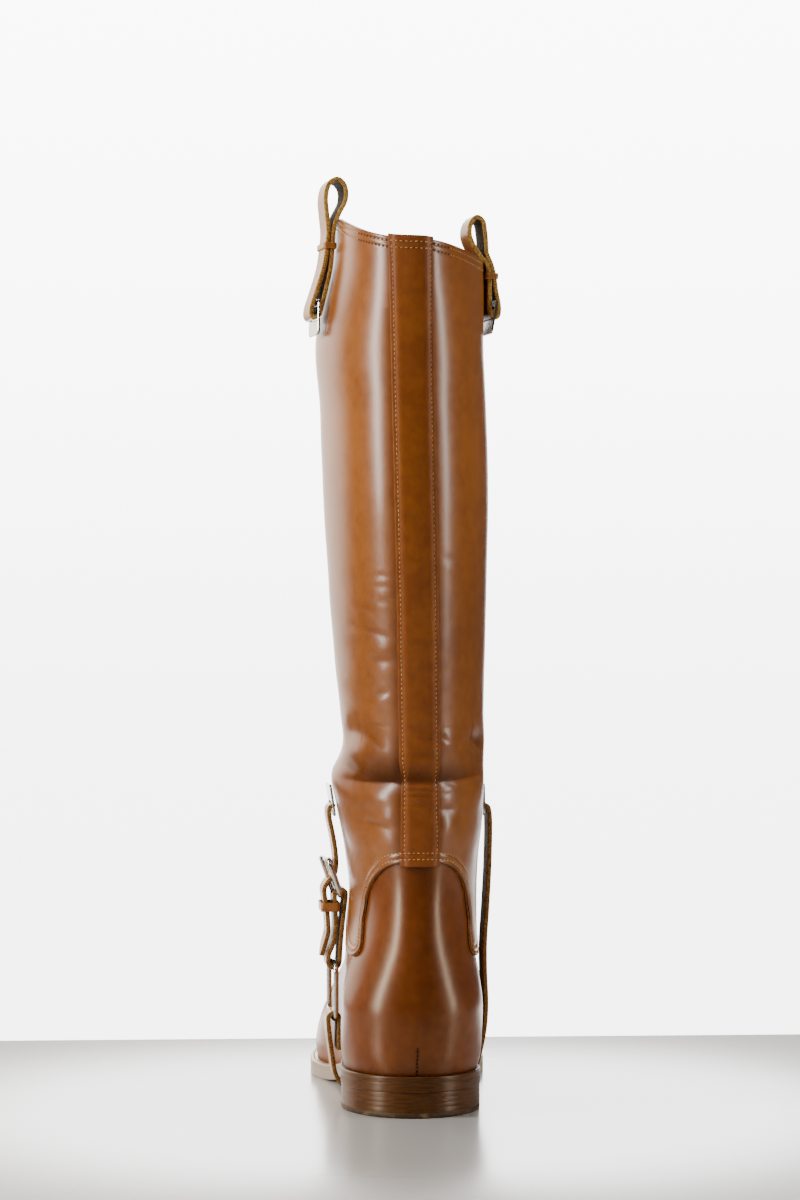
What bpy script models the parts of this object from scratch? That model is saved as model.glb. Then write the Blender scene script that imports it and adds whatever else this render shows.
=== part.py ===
# Tall pull-on leather boot, left foot, with a strap harness round ankle and waist.
# Frame: origin at the centre of the heel's floor face, +Y to the toe, +Z up, +X to the medial side.
# Sizes and tables are in millimetres, and MM turns them into metres.

import math
from collections import namedtuple

import bmesh
import bpy
import numpy as np
from mathutils import Matrix, Vector

MM = 0.001
SEAT_GAP = 0.3

Finish = namedtuple("Finish", "colour roughness metallic")
FINISHES = {
    "tan_leather": Finish((0.36, 0.15, 0.035), 0.45, 0.0),
    "back_strap_leather": Finish((0.30, 0.12, 0.03), 0.55, 0.0),
    "harness_leather": Finish((0.33, 0.16, 0.05), 0.5, 0.0),
    "sole_leather": Finish((0.10, 0.05, 0.02), 0.5, 0.0),
    "footbed_leather": Finish((0.45, 0.30, 0.18), 0.7, 0.0),
    "heel_rubber": Finish((0.02, 0.016, 0.013), 0.7, 0.0),
    "bright_steel": Finish((0.7, 0.7, 0.7), 0.2, 1.0),
}

# The base form is the outside of the foot, and of the leg less SHAFT_PROUD. Each row is one section
# round the boot: its rearmost and foremost points, its half widths over the heel, the waist and the
# ball, how far its middle and its back seam lean to the medial side, its share of the last's curve,
# the further lean at the ball, and the rise of its lateral side over its middle.
Section = namedtuple(
    "Section", "name back_y back_z front_y front_z heel waist ball lean spine swing turn roll"
)
SECTIONS = (
    Section("feather", -33.0, 20.0, 241.0, 17.0, 32.0, 26.5, 41.4, 0.0, 0.3, 1.0, 3.4, 0.0),
    Section("rand", -35.6, 27.0, 244.0, 24.5, 33.6, 27.6, 42.4, 0.0, 0.4, 1.0, 3.8, 0.0),
    Section("toe_wall", -37.0, 37.0, 241.0, 36.0, 34.0, 28.2, 41.0, 0.3, 0.5, 1.0, 4.8, 0.0),
    Section("toe_top", -37.2, 48.0, 228.0, 46.5, 34.0, 28.8, 37.4, 0.8, 0.7, 0.95, 5.4, 0.0),
    Section("vamp_low", -36.0, 60.0, 205.0, 55.5, 33.4, 29.4, 33.6, 1.4, 0.9, 0.85, 5.0, 0.0),
    Section("vamp_mid", -33.6, 74.0, 178.0, 67.0, 32.2, 29.9, 31.2, 2.4, 1.2, 0.7, 4.0, 0.0),
    Section("vamp_high", -30.6, 88.0, 150.0, 83.0, 30.4, 30.0, 30.2, 3.7, 1.6, 0.5, 2.0, 0.0),
    Section("instep", -28.2, 104.0, 123.5, 104.0, 29.6, 29.6, 29.6, 4.0, 2.0, 0.3, 0.5, 0.0),
    Section("ankle_bend", -27.6, 121.0, 105.0, 126.0, 31.2, 31.2, 31.2, 3.0, 2.4, 0.15, 0.0, 0.0),
    Section("ankle", -28.4, 140.0, 96.5, 147.0, 33.8, 33.8, 33.8, 1.5, 2.3, 0.05, 0.0, 0.0),
    Section("ankle_fold", -29.8, 155.0, 93.5, 162.0, 35.4, 35.4, 35.4, 0.2, 2.1, 0.0, 0.0, 0.0),
    Section("leg_hollow", -31.6, 171.0, 92.5, 178.0, 32.6, 32.6, 32.6, 3.0, 1.7, 0.0, 0.0, 0.0),
    Section("leg_low", -36.0, 206.0, 93.0, 212.0, 34.4, 34.4, 34.4, 1.4, 0.9, 0.0, 0.0, 0.0),
    Section("leg_mid", -42.0, 245.0, 95.5, 251.0, 36.4, 36.4, 36.4, 0.0, 0.0, 0.0, 0.0, 0.0),
    Section("calf", -47.5, 290.0, 98.5, 297.0, 38.3, 38.3, 38.3, -1.0, -1.3, 0.0, 0.0, 0.0),
    Section("calf_top", -49.5, 332.0, 100.0, 340.0, 38.6, 38.6, 38.6, -2.4, -2.4, 0.0, 0.0, 0.0),
    Section("loop_swell", -48.8, 362.0, 100.0, 371.0, 38.9, 38.9, 38.9, -4.0, -2.9, 0.0, 0.0, 3.0),
    Section("collar_low", -46.8, 393.0, 99.0, 402.0, 35.2, 35.2, 35.2, 0.0, -3.2, 0.0, 0.0, 7.0),
    Section("collar", -45.0, 412.0, 98.0, 422.0, 34.2, 34.2, 34.2, 0.6, -3.5, 0.0, 0.0, 10.0),
)
TABLE = np.array([section[1:] for section in SECTIONS])
COLUMN = {name: place for place, name in enumerate(Section._fields[1:])}
ROW = {section.name: float(place) for place, section in enumerate(SECTIONS)}
LAST_ROW = len(SECTIONS) - 1

# Stations along a section, as shares of its length, and the sideways curve of the last at each.
HEEL_T = 0.12
WAIST_T = 0.42
BALL_T = 0.66
BALL_SKEW = 0.03
WAIST_SHIFT = -1.2
TOE_SHIFT = 7.0
FOOT_ROUND_BACK = 0.16
FOOT_ROUND_FRONT = 0.66
LEG_ROUND = 0.5

# Steps and samples used to read slopes and sides of the form.
TURN_STEP = 1e-4
ROW_STEP = 1e-3
FINE_ANGLES = 721
FINE_ROWS = 181
SIDE_ANGLES = np.linspace(0.5, 2.6, 43)

# Height of the feather line, where the upper meets the welt.
SEAT_Z = 20.0
TREAD_Z = 8.0
SEAT_END_Y = 32.0
TREAD_START_Y = 118.0
TREAD_END_Y = 166.0
TOE_Y = 241.0
TOE_SPRING = 9.0

# Upper and shaft.
COLUMNS_ROUND = 52
UPPER_WALL = 2.4
UPPER_RINGS = 11
UPPER_CROWDING = 1.15
SHAFT_WALL = 2.4
LAP_WALL = 1.3
SHAFT_PROUD = LAP_WALL + SEAT_GAP
LAP = 7.5
LAP_CLEAR = 0.8
LAP_STEP = 1.4
SHAFT_RINGS = 15
TAB_ANGLE = math.radians(51)
TAB_ROW = 5.15
BACK_ARCH_ROW = 8.05
FRONT_ARCH_ROW = 8.45
ARCH_SQUARE = 3.6

BACK_STRAP_WALL = 1.3
BACK_STRAP_TOP_HALF = 9.4
BACK_STRAP_LOW_HALF = 8.2
BACK_STRAP_DROP = 1.5
BACK_STRAP_RINGS = 15
BACK_STRAP_COLUMNS = 5

# Bottom.
SOLE_POINTS = 64
WELT_HEEL = 1.7
WELT_FORE = 3.6
WELT_GROW_START_T = 0.3
WELT_GROW_END_T = 0.62
WELT_INSIDE = 9.0
WELT_INSET = 0.4
WELT_THICK = 3.2
OUTSOLE_TOP = WELT_THICK + 2 * SEAT_GAP
OUTSOLE_THICK = TREAD_Z - OUTSOLE_TOP
OUTSOLE_ROUND = 1.0
INSOLE_THICK = 3.0
INSOLE_INSET = 3.2
HEEL_BREAST_Y = 30.0
BREAST_HOLLOW = 3.0
BREAST_POINTS = 5
HEEL_POINTS = 23
TOP_PIECE_THICK = 3.0
LIFT_COUNT = 3
LIFT_GROOVE = 0.3
LIFT_GROOVE_HALF = 0.35
STACK_TOP = SEAT_Z - TREAD_Z - SEAT_GAP
STACK_LOW = TOP_PIECE_THICK + SEAT_GAP
STACK_INSET = 0.4

# Straps. Each band runs in an upright plane across the boot, given by its middle line: how far out
# from the middle of the boot, and how high. The loops are given from the shaft's face and collar.
STRAP_THICK = 2.2
STRAP_WIDE = 18.0
PATH_STEPS = 2
LOOP_Y = 20.0
HARNESS_Y = 52.0
LATERAL = -1
MEDIAL = 1

LoopPoint = namedtuple("LoopPoint", "rise out")
LoopFit = namedtuple("LoopFit", "keeper plate_top plate_low slot path")
PULL_LOOP = {
    LATERAL: LoopFit(-10.0, -36.0, -53.0, -42.4, (
        LoopPoint(-41.0, 1.7), LoopPoint(-30.0, 1.7), LoopPoint(-20.0, 1.9), LoopPoint(-10.0, 2.5),
        LoopPoint(-1.0, 2.1), LoopPoint(5.0, 0.0), LoopPoint(12.0, -3.4), LoopPoint(18.5, -3.2),
        LoopPoint(22.0, 0.4), LoopPoint(19.5, 4.6), LoopPoint(13.0, 6.2), LoopPoint(5.0, 5.6),
        LoopPoint(-3.0, 4.8), LoopPoint(-10.0, 5.0), LoopPoint(-20.0, 5.1), LoopPoint(-31.0, 5.8),
        LoopPoint(-39.0, 6.4), LoopPoint(-43.2, 5.8), LoopPoint(-44.6, 4.1), LoopPoint(-43.4, 2.3),
    )),
    MEDIAL: LoopFit(-6.5, -18.0, -35.0, -24.4, (
        LoopPoint(-23.0, 1.5), LoopPoint(-15.0, 1.8), LoopPoint(-6.5, 2.5), LoopPoint(-1.0, 2.2),
        LoopPoint(4.0, -0.2), LoopPoint(9.0, -5.0), LoopPoint(14.0, -9.4), LoopPoint(19.0, -10.4),
        LoopPoint(22.6, -7.0), LoopPoint(21.6, -2.0), LoopPoint(16.5, 0.8), LoopPoint(10.0, 2.2),
        LoopPoint(4.5, 3.8), LoopPoint(-1.0, 5.0), LoopPoint(-6.5, 5.0), LoopPoint(-14.0, 5.4),
        LoopPoint(-20.5, 6.2), LoopPoint(-25.2, 5.8), LoopPoint(-26.6, 4.1), LoopPoint(-25.4, 2.3),
    )),
}
LOOP_KEEPER_TALL = 5.0
LOOP_KEEPER_WALL = 0.8
LOOP_PLATE_TOP_OUT = 4.15
LOOP_PLATE_LOW_OUT = 1.3

PLATE_WIDE = 25.0
PLATE_THICK = 1.2
PLATE_CORNER = 2.5
SLOT_WIDE = 19.4
SLOT_TALL = 6.4
ANKLE_SLOT_TALL = 4.6
SLOT_CORNER = 1.0
HOLE_CORNER = 0.25
CORNER_STEPS = 3

PathPoint = namedtuple("PathPoint", "out z")
ANKLE_PLATE = {
    LATERAL: (PathPoint(37.2, 154.0), PathPoint(34.8, 138.0)),
    MEDIAL: (PathPoint(38.4, 154.0), PathPoint(38.6, 138.0)),
}
ANKLE_SLOT_Z = 142.9
BILLET = (
    PathPoint(34.6, 142.7), PathPoint(35.8, 143.0), PathPoint(37.0, 142.3), PathPoint(37.5, 140.0),
    PathPoint(37.1, 136.0), PathPoint(35.8, 130.0), PathPoint(34.6, 123.0), PathPoint(34.0, 117.0),
    PathPoint(34.2, 112.0), PathPoint(35.5, 108.6), PathPoint(38.0, 105.8), PathPoint(39.8, 102.2),
    PathPoint(39.5, 98.0), PathPoint(38.7, 94.0), PathPoint(38.0, 87.0), PathPoint(38.0, 81.0),
    PathPoint(39.6, 74.5), PathPoint(40.7, 69.0),
)
HINGE = PathPoint(32.0, 99.4)
BUCKLE_TOP = PathPoint(37.9, 116.7)
BUCKLE_WIRE = 1.4
BUCKLE_HALF_WIDE = 12.5
BUCKLE_CORNER = 3.0
PRONG_WIRE = 1.0
PRONG_HOLE = 1.35
PRONG_PAST = 2.6
BUCKLE_STRAP = (
    PathPoint(29.3, 99.4), PathPoint(30.1, 101.4), PathPoint(32.0, 102.15), PathPoint(33.9, 101.4),
    PathPoint(34.7, 99.4), PathPoint(34.4, 93.0), PathPoint(34.1, 84.0), PathPoint(35.3, 76.0),
    PathPoint(37.5, 70.5), PathPoint(37.95, 66.6), PathPoint(37.05, 64.6), PathPoint(35.15, 63.7),
    PathPoint(33.25, 64.6), PathPoint(32.35, 66.6), PathPoint(32.0, 73.0), PathPoint(31.3, 81.0),
    PathPoint(30.2, 91.0),
)
KEEPER_INNER = 32.1
KEEPER_OUTER = 41.5
KEEPER_WALL = 0.9
KEEPER_LOW = 91.2
KEEPER_TALL = 4.6
LINK_OUT = 35.15
LINK_TOP = 66.6
LINK_LOW = 38.6
LINK_WIRE = 1.3
LINK_HALF_WIDE = 12.5
LINK_CORNER = 5.0
SOLE_STRAP = (
    PathPoint(-32.6, 23.5), PathPoint(-32.5, 31.0), PathPoint(-32.5, 38.4), PathPoint(-33.3, 40.6),
    PathPoint(-35.2, 41.5), PathPoint(-37.1, 40.6), PathPoint(-37.9, 38.4), PathPoint(-37.2, 30.0),
    PathPoint(-35.8, 20.0), PathPoint(-34.4, 12.0), PathPoint(-31.6, 7.2), PathPoint(-26.5, 5.8),
    PathPoint(0.0, 6.2), PathPoint(26.0, 5.8), PathPoint(31.0, 7.4), PathPoint(34.2, 12.5),
    PathPoint(36.8, 21.0), PathPoint(39.2, 33.0), PathPoint(40.0, 46.0), PathPoint(39.4, 62.0),
    PathPoint(39.4, 76.0), PathPoint(40.4, 92.0), PathPoint(41.4, 110.0), PathPoint(41.9, 126.0),
    PathPoint(41.9, 136.0), PathPoint(41.5, 140.4), PathPoint(40.8, 142.4), PathPoint(39.6, 143.0),
    PathPoint(38.3, 142.8),
)
WIRE_SIDES = 2
WELD = 0.00001


def ease(value, start, end):
    share = np.clip((value - start) / (end - start), 0.0, 1.0)
    return share * share * (3 - 2 * share)


def section_at(row):
    """The section table at fractional rows, by Catmull-Rom, as one array per column."""
    row = np.clip(row, 0, LAST_ROW)
    start = np.minimum(row.astype(int), LAST_ROW - 1)
    share = (row - start)[:, None]
    before = TABLE[np.maximum(start - 1, 0)]
    first = TABLE[start]
    second = TABLE[start + 1]
    after = TABLE[np.minimum(start + 2, LAST_ROW)]
    slope_in = (second - before) / 2
    slope_out = (after - first) / 2
    cubic = 2 * first - 2 * second + slope_in + slope_out
    square = 3 * second - 3 * first - 2 * slope_in - slope_out
    values = ((cubic * share + square) * share + slope_in) * share + first
    return {name: values[:, place] for name, place in COLUMN.items()}


def feather_height(y):
    drop = ease(y, SEAT_END_Y, TREAD_START_Y)
    spring = np.maximum(y - TREAD_END_Y, 0) / (TOE_Y - TREAD_END_Y)
    return SEAT_Z - (SEAT_Z - TREAD_Z) * drop + TOE_SPRING * spring**2


def form(angle, row):
    """Points of the base form. Angle 0 is the back, and it grows to the lateral side and the toe."""
    angle, row = (np.ravel(a) for a in np.broadcast_arrays(angle, row))
    angle = angle.astype(float)
    row = row.astype(float)
    cut = section_at(row)
    t = (1 - np.cos(angle)) / 2
    side = np.where(np.sin(angle) > 0, -1.0, 1.0)
    leg = ease(row, ROW["toe_top"], ROW["ankle_bend"])
    round_back = FOOT_ROUND_BACK + (LEG_ROUND - FOOT_ROUND_BACK) * leg
    round_front = FOOT_ROUND_FRONT + (LEG_ROUND - FOOT_ROUND_FRONT) * leg
    back = np.clip(1 - t / round_back, 0, 1)
    front = np.clip((t - round_front) / (1 - round_front), 0, 1)
    reach = side * np.sqrt((1 - back**2) * (1 - front**2))
    to_waist = ease(t, HEEL_T, WAIST_T)
    to_ball = ease(t, WAIST_T, BALL_T + BALL_SKEW * side)
    width = cut["heel"] + (cut["waist"] - cut["heel"]) * to_waist
    width = width + (cut["ball"] - cut["waist"]) * to_ball
    waist_shift = cut["swing"] * WAIST_SHIFT
    toe_shift = cut["swing"] * TOE_SHIFT
    shift = waist_shift * to_waist + (cut["turn"] - waist_shift) * ease(t, WAIST_T, BALL_T)
    shift = shift + (toe_shift - cut["turn"]) * ease(t, BALL_T, 1.0)
    at_back = 1 - ease(t, 0.0, LEG_ROUND)
    x = cut["lean"] + (cut["spine"] - cut["lean"]) * at_back + shift + reach * width
    y = cut["back_y"] + (cut["front_y"] - cut["back_y"]) * t
    chord = SECTIONS[0].back_z + (SECTIONS[0].front_z - SECTIONS[0].back_z) * t
    follow = 1 - ease(row, 0.0, ROW["vamp_high"])
    z = cut["back_z"] + (cut["front_z"] - cut["back_z"]) * t
    z = z + follow * (feather_height(y) - chord) - cut["roll"] * reach
    return np.column_stack([x, y, z])


def form_normals(angle, row):
    """Outward unit normals of the base form, from the slopes of its two directions."""
    angle, row = (np.ravel(a).astype(float) for a in np.broadcast_arrays(angle, row))
    round_boot = form(angle + TURN_STEP, row) - form(angle - TURN_STEP, row)
    higher = form(angle, np.minimum(row + ROW_STEP, LAST_ROW))
    up_boot = higher - form(angle, np.maximum(row - ROW_STEP, 0))
    normals = np.cross(up_boot, round_boot)
    return normals / np.linalg.norm(normals, axis=1)[:, None]


def skin(angle, row, offset):
    """Points at an offset outside the base form, as a grid of the shape of angle and row."""
    shape = np.broadcast(angle, row).shape
    points = form(angle, row) + form_normals(angle, row) * offset
    return points.reshape(shape + (3,))


def row_above(angle, row, distance):
    """The row reached by going a distance up the form from a row, at each angle."""
    step = np.linalg.norm(form(angle, row + ROW_STEP) - form(angle, row), axis=1)
    return row + distance * ROW_STEP / step


def seam_row(angle):
    """The row of the shaft's lower edge: an arch at the back, a tab each side, a rise to the front."""
    fold = np.abs((np.asarray(angle, float) + math.pi) % (2 * math.pi) - math.pi)
    share = np.clip(fold / TAB_ANGLE, 0, 1)
    arch = (1 - share**ARCH_SQUARE) ** (1 / ARCH_SQUARE)
    rise = ease(fold, TAB_ANGLE, math.pi)
    return TAB_ROW + (BACK_ARCH_ROW - TAB_ROW) * arch + (FRONT_ARCH_ROW - TAB_ROW) * rise


def column_angles():
    """Angles of the mesh columns, closer together where the shaft's lower edge is steep."""
    fine = np.linspace(0, 2 * math.pi, 2 * FINE_ANGLES)
    edge = form(fine, seam_row(fine))
    run = np.concatenate([[0], np.cumsum(np.linalg.norm(np.diff(edge, axis=0), axis=1))])
    even = (fine / fine[-1] + run / run[-1]) / 2
    return np.interp(np.arange(COLUMNS_ROUND) / COLUMNS_ROUND, even, fine)


def collection(name):
    made = bpy.data.collections.new(name)
    bpy.context.scene.collection.children.link(made)
    return made


def material(name):
    finish = FINISHES[name]
    made = bpy.data.materials.new(name)
    made.use_nodes = True
    shader = made.node_tree.nodes["Principled BSDF"]
    shader.inputs["Base Color"].default_value = (*finish.colour, 1)
    shader.inputs["Roughness"].default_value = finish.roughness
    shader.inputs["Metallic"].default_value = finish.metallic
    return made


def add_object(name, data, finish, group):
    made = bpy.data.objects.new(name, data)
    data.materials.append(finish)
    group.objects.link(made)
    return made


def add_mesh(name, points, faces, finish, group):
    mesh = bpy.data.meshes.new(name)
    mesh.from_pydata([Vector(p) * MM for p in points], [], faces)
    mesh.update()
    return add_object(name, mesh, finish, group)


def grid_faces(across, up, closed):
    """Faces of a grid of points stored row by row, turned outward for skin()."""
    faces = []
    for level in range(up - 1):
        for place in range(across if closed else across - 1):
            beside = (place + 1) % across
            low = level * across
            high = low + across
            faces.append((low + place, high + place, high + beside, low + beside))
    return faces


def shell(name, grid, closed, wall, finish, group):
    """An open surface, given a wall inward by Solidify."""
    up, across = grid.shape[:2]
    made = add_mesh(name, grid.reshape(-1, 3), grid_faces(across, up, closed), finish, group)
    solid = made.modifiers.new("wall", "SOLIDIFY")
    solid.thickness = wall * MM
    solid.offset = -1
    solid.use_even_offset = True
    solid.use_quality_normals = True
    return made


def build_upper(group, finish):
    angles = column_angles()
    edge = seam_row(angles)
    share = (np.arange(UPPER_RINGS + 1) / UPPER_RINGS) ** UPPER_CROWDING
    rows = np.vstack([share[:, None] * edge[None, :], row_above(angles, edge, LAP)])
    grid = skin(np.broadcast_to(angles, rows.shape), rows, 0.0)
    return shell("upper", grid, True, UPPER_WALL, finish, group)


def build_shaft(group, finish):
    angles = column_angles()
    edge = seam_row(angles)
    lap_end = row_above(angles, edge, LAP + LAP_CLEAR)
    full = row_above(angles, edge, LAP + LAP_CLEAR + LAP_STEP)
    share = (np.arange(1, SHAFT_RINGS + 1) / SHAFT_RINGS)[:, None]
    above = full[None, :] + share * (LAST_ROW - full)[None, :]
    rows = np.vstack([edge, lap_end, full, above])
    grid = skin(np.broadcast_to(angles, rows.shape), rows, SHAFT_PROUD)
    made = shell("shaft", grid, True, SHAFT_WALL, finish, group)
    thick = made.vertex_groups.new(name="full_wall")
    thick.add(list(range(2 * COLUMNS_ROUND, rows.size)), 1.0, "REPLACE")
    made.modifiers["wall"].vertex_group = thick.name
    made.modifiers["wall"].thickness_vertex_group = LAP_WALL / SHAFT_WALL
    return made


def build_back_strap(group, finish):
    low = float(row_above(np.zeros(1), seam_row(np.zeros(1)), -BACK_STRAP_DROP)[0])
    share = np.arange(BACK_STRAP_RINGS + 1) / BACK_STRAP_RINGS
    rows = low + (LAST_ROW - low) * share
    half = BACK_STRAP_LOW_HALF + (BACK_STRAP_TOP_HALF - BACK_STRAP_LOW_HALF) * share
    reach = np.arcsin(half / section_at(rows)["heel"])
    angles = reach[:, None] * np.linspace(-1, 1, BACK_STRAP_COLUMNS)[None, :]
    rows = np.broadcast_to(rows[:, None], angles.shape)
    grid = skin(angles, rows, SHAFT_PROUD + SEAT_GAP + BACK_STRAP_WALL)
    return shell("back_strap", grid, False, BACK_STRAP_WALL, finish, group)


def welt_reach(angle):
    """Width of the welt's ledge outside the feather line."""
    t = (1 - np.cos(angle)) / 2
    return WELT_HEEL + (WELT_FORE - WELT_HEEL) * ease(t, WELT_GROW_START_T, WELT_GROW_END_T)


def footprint(angle, grow):
    """Feather line in plan, grown outward."""
    slope = form(angle + TURN_STEP, 0.0)[:, :2] - form(angle - TURN_STEP, 0.0)[:, :2]
    outward = np.column_stack([-slope[:, 1], slope[:, 0]])
    outward = outward / np.linalg.norm(outward, axis=1)[:, None]
    return form(angle, 0.0)[:, :2] + outward * np.reshape(grow, (-1, 1))


def sole_ring(grow, lift):
    """A ring of points round the sole, at a height over the feather line."""
    angle = np.arange(SOLE_POINTS) * 2 * math.pi / SOLE_POINTS
    plan = footprint(angle, np.broadcast_to(grow, angle.shape))
    return np.column_stack([plan, feather_height(plan[:, 1]) + lift])


def sole_welt_reach():
    return welt_reach(np.arange(SOLE_POINTS) * 2 * math.pi / SOLE_POINTS)


def ladder_faces(start, count):
    """Rungs across a ring whose points pair up left and right from the back."""
    faces = [(start, start + 1, start + count - 1)]
    for place in range(1, count // 2 - 1):
        faces.append((start + place, start + place + 1, start + count - place - 1, start + count - place))
    faces.append((start + count // 2 - 1, start + count // 2, start + count // 2 + 1))
    return faces


def ring_walls(count, levels, closed):
    faces = []
    for level in range(levels if closed else levels - 1):
        low = level * count
        high = (level + 1) % levels * count
        for place in range(count):
            beside = (place + 1) % count
            faces.append((low + place, high + place, high + beside, low + beside))
    return faces


def turn_outward(made):
    """Makes the faces of a closed mesh point out."""
    work = bmesh.new()
    work.from_mesh(made.data)
    bmesh.ops.recalc_face_normals(work, faces=work.faces)
    work.to_mesh(made.data)
    work.free()
    return made


def plate(name, rings, finish, group):
    """A curved plate between its lowest and its highest ring."""
    count = len(rings[0])
    faces = ring_walls(count, len(rings), False)
    faces += ladder_faces(0, count)
    faces += ladder_faces((len(rings) - 1) * count, count)
    return turn_outward(add_mesh(name, np.vstack(rings), faces, finish, group))


def block(name, rings, finish, group):
    """A block with flat ends between its lowest and its highest ring."""
    count = len(rings[0])
    faces = ring_walls(count, len(rings), False)
    faces.append(tuple(range(count)))
    faces.append(tuple(range((len(rings) - 1) * count, len(rings) * count)))
    return turn_outward(add_mesh(name, np.vstack(rings), faces, finish, group))


def build_outsole(group, finish):
    reach = sole_welt_reach()
    rings = [
        sole_ring(reach - OUTSOLE_ROUND, -TREAD_Z),
        sole_ring(reach, -TREAD_Z + OUTSOLE_ROUND),
        sole_ring(reach, -OUTSOLE_TOP),
    ]
    return plate("outsole", rings, finish, group)


def build_welt(group, finish):
    reach = sole_welt_reach() - WELT_INSET
    low = -SEAT_GAP - WELT_THICK
    rings = [
        sole_ring(-WELT_INSIDE, low),
        sole_ring(reach, low),
        sole_ring(reach, -SEAT_GAP),
        sole_ring(-WELT_INSIDE, -SEAT_GAP),
    ]
    faces = ring_walls(SOLE_POINTS, len(rings), True)
    return turn_outward(add_mesh("welt", np.vstack(rings), faces, finish, group))


def build_insole(group, finish):
    rings = [sole_ring(-INSOLE_INSET, 0.0), sole_ring(-INSOLE_INSET, INSOLE_THICK)]
    return plate("insole", rings, finish, group)


def heel_ring(inset, z):
    """The heel's outline, closed by a slightly hollow breast."""
    fine = np.linspace(0, math.pi, FINE_ANGLES)
    plan = footprint(fine, welt_reach(fine) - inset)
    corner = float(np.interp(HEEL_BREAST_Y, plan[:, 1], fine))
    angle = np.linspace(-corner, corner, HEEL_POINTS)
    points = footprint(angle, welt_reach(angle) - inset)
    share = np.arange(1, BREAST_POINTS + 1) / (BREAST_POINTS + 1)
    breast_x = points[-1, 0] + (points[0, 0] - points[-1, 0]) * share
    breast_y = HEEL_BREAST_Y - 4 * BREAST_HOLLOW * share * (1 - share)
    points = np.vstack([points, np.column_stack([breast_x, breast_y])])
    return np.column_stack([points, np.full(len(points), z)])


def build_heel_stack(group, finish):
    lift = (STACK_TOP - STACK_LOW) / LIFT_COUNT
    rings = [heel_ring(STACK_INSET, STACK_LOW)]
    for count in range(1, LIFT_COUNT):
        joint = STACK_LOW + lift * count
        rings.append(heel_ring(STACK_INSET, joint - LIFT_GROOVE_HALF))
        rings.append(heel_ring(STACK_INSET + LIFT_GROOVE, joint))
        rings.append(heel_ring(STACK_INSET, joint + LIFT_GROOVE_HALF))
    rings.append(heel_ring(STACK_INSET, STACK_TOP))
    return block("heel_stack", rings, finish, group)


def build_heel_top_piece(group, finish):
    rings = [heel_ring(STACK_INSET, 0.0), heel_ring(STACK_INSET, TOP_PIECE_THICK)]
    return block("heel_top_piece", rings, finish, group)


def shaft_face(side, centre_y, half, z):
    """How far out the shaft's side reaches within a span along the boot, at a height."""
    rows = np.linspace(0, LAST_ROW, FINE_ROWS)
    best = 0.0
    for angle in SIDE_ANGLES:
        points = skin(-side * angle, rows, SHAFT_PROUD)
        if abs(np.interp(z, points[:, 2], points[:, 1]) - centre_y) <= half:
            best = max(best, side * float(np.interp(z, points[:, 2], points[:, 0])))
    return best


def collar_height(side, y):
    points = form(-side * SIDE_ANGLES, float(LAST_ROW))
    return float(np.interp(y, points[:, 1], points[:, 2]))


def smooth_path(points, closed):
    """A Catmull-Rom run through hand-placed points, as an array of across and up."""
    points = np.array(points, float)
    count = len(points)
    spans = count if closed else count - 1
    path = []
    for span in range(spans):
        picks = [span - 1, span, span + 1, span + 2]
        picks = [p % count if closed else min(max(p, 0), count - 1) for p in picks]
        before, first, second, after = points[picks]
        for share in np.arange(PATH_STEPS) / PATH_STEPS:
            slope_in = (second - before) / 2
            slope_out = (after - first) / 2
            cubic = 2 * first - 2 * second + slope_in + slope_out
            square = 3 * second - 3 * first - 2 * slope_in - slope_out
            path.append(((cubic * share + square) * share + slope_in) * share + first)
    if not closed:
        path.append(points[-1])
    return np.array(path)


def band(path, closed):
    """Outlines of a strap seen edge on: its middle line moved half its thickness each way."""
    if closed:
        slope = np.roll(path, -1, axis=0) - np.roll(path, 1, axis=0)
    else:
        slope = np.gradient(path, axis=0)
    normal = np.column_stack([-slope[:, 1], slope[:, 0]])
    normal = normal / np.linalg.norm(normal, axis=1)[:, None] * STRAP_THICK / 2
    if closed:
        return [path + normal, path - normal]
    return [np.vstack([path + normal, (path - normal)[::-1]])]


def box_outline(centre_x, centre_y, wide, tall, corner):
    """A rectangle with round corners."""
    outline = []
    for turn in range(4):
        start = turn * math.pi / 2
        for step in range(CORNER_STEPS + 1):
            angle = start + step * math.pi / 2 / CORNER_STEPS
            sign_x = 1 if turn in (0, 3) else -1
            sign_y = 1 if turn in (0, 1) else -1
            x = centre_x + sign_x * (wide / 2 - corner) + corner * math.cos(angle)
            y = centre_y + sign_y * (tall / 2 - corner) + corner * math.sin(angle)
            outline.append((x, y))
    return np.array(outline)


def flat_piece(name, outlines, thick, place, finish, group):
    """A filled flat outline with a thickness. Outlines inside the first are holes."""
    curve = bpy.data.curves.new(name, "CURVE")
    curve.dimensions = "2D"
    curve.fill_mode = "BOTH"
    curve.extrude = thick / 2 * MM
    for outline in outlines:
        spline = curve.splines.new("POLY")
        spline.points.add(len(outline) - 1)
        for point, (x, y) in zip(spline.points, outline):
            point.co = (x * MM, y * MM, 0, 1)
        spline.use_cyclic_u = True
    made = add_object(name, curve, finish, group)
    made.matrix_world = place
    return made


def wire_piece(name, points, radius, closed, finish, group):
    """A round wire along straight runs."""
    curve = bpy.data.curves.new(name, "CURVE")
    curve.dimensions = "3D"
    curve.bevel_depth = radius * MM
    curve.bevel_resolution = WIRE_SIDES
    curve.use_fill_caps = True
    spline = curve.splines.new("POLY")
    spline.points.add(len(points) - 1)
    for point, at in zip(spline.points, points):
        point.co = (*(Vector(at) * MM), 1)
    spline.use_cyclic_u = closed
    return add_object(name, curve, finish, group)


def upright(y):
    """Places an outline of across and up in the plane across the boot at y."""
    return Matrix.Translation((0, y * MM, 0)) @ Matrix.Rotation(math.pi / 2, 4, "X")


def level(z):
    return Matrix.Translation((0, 0, z * MM))


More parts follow.
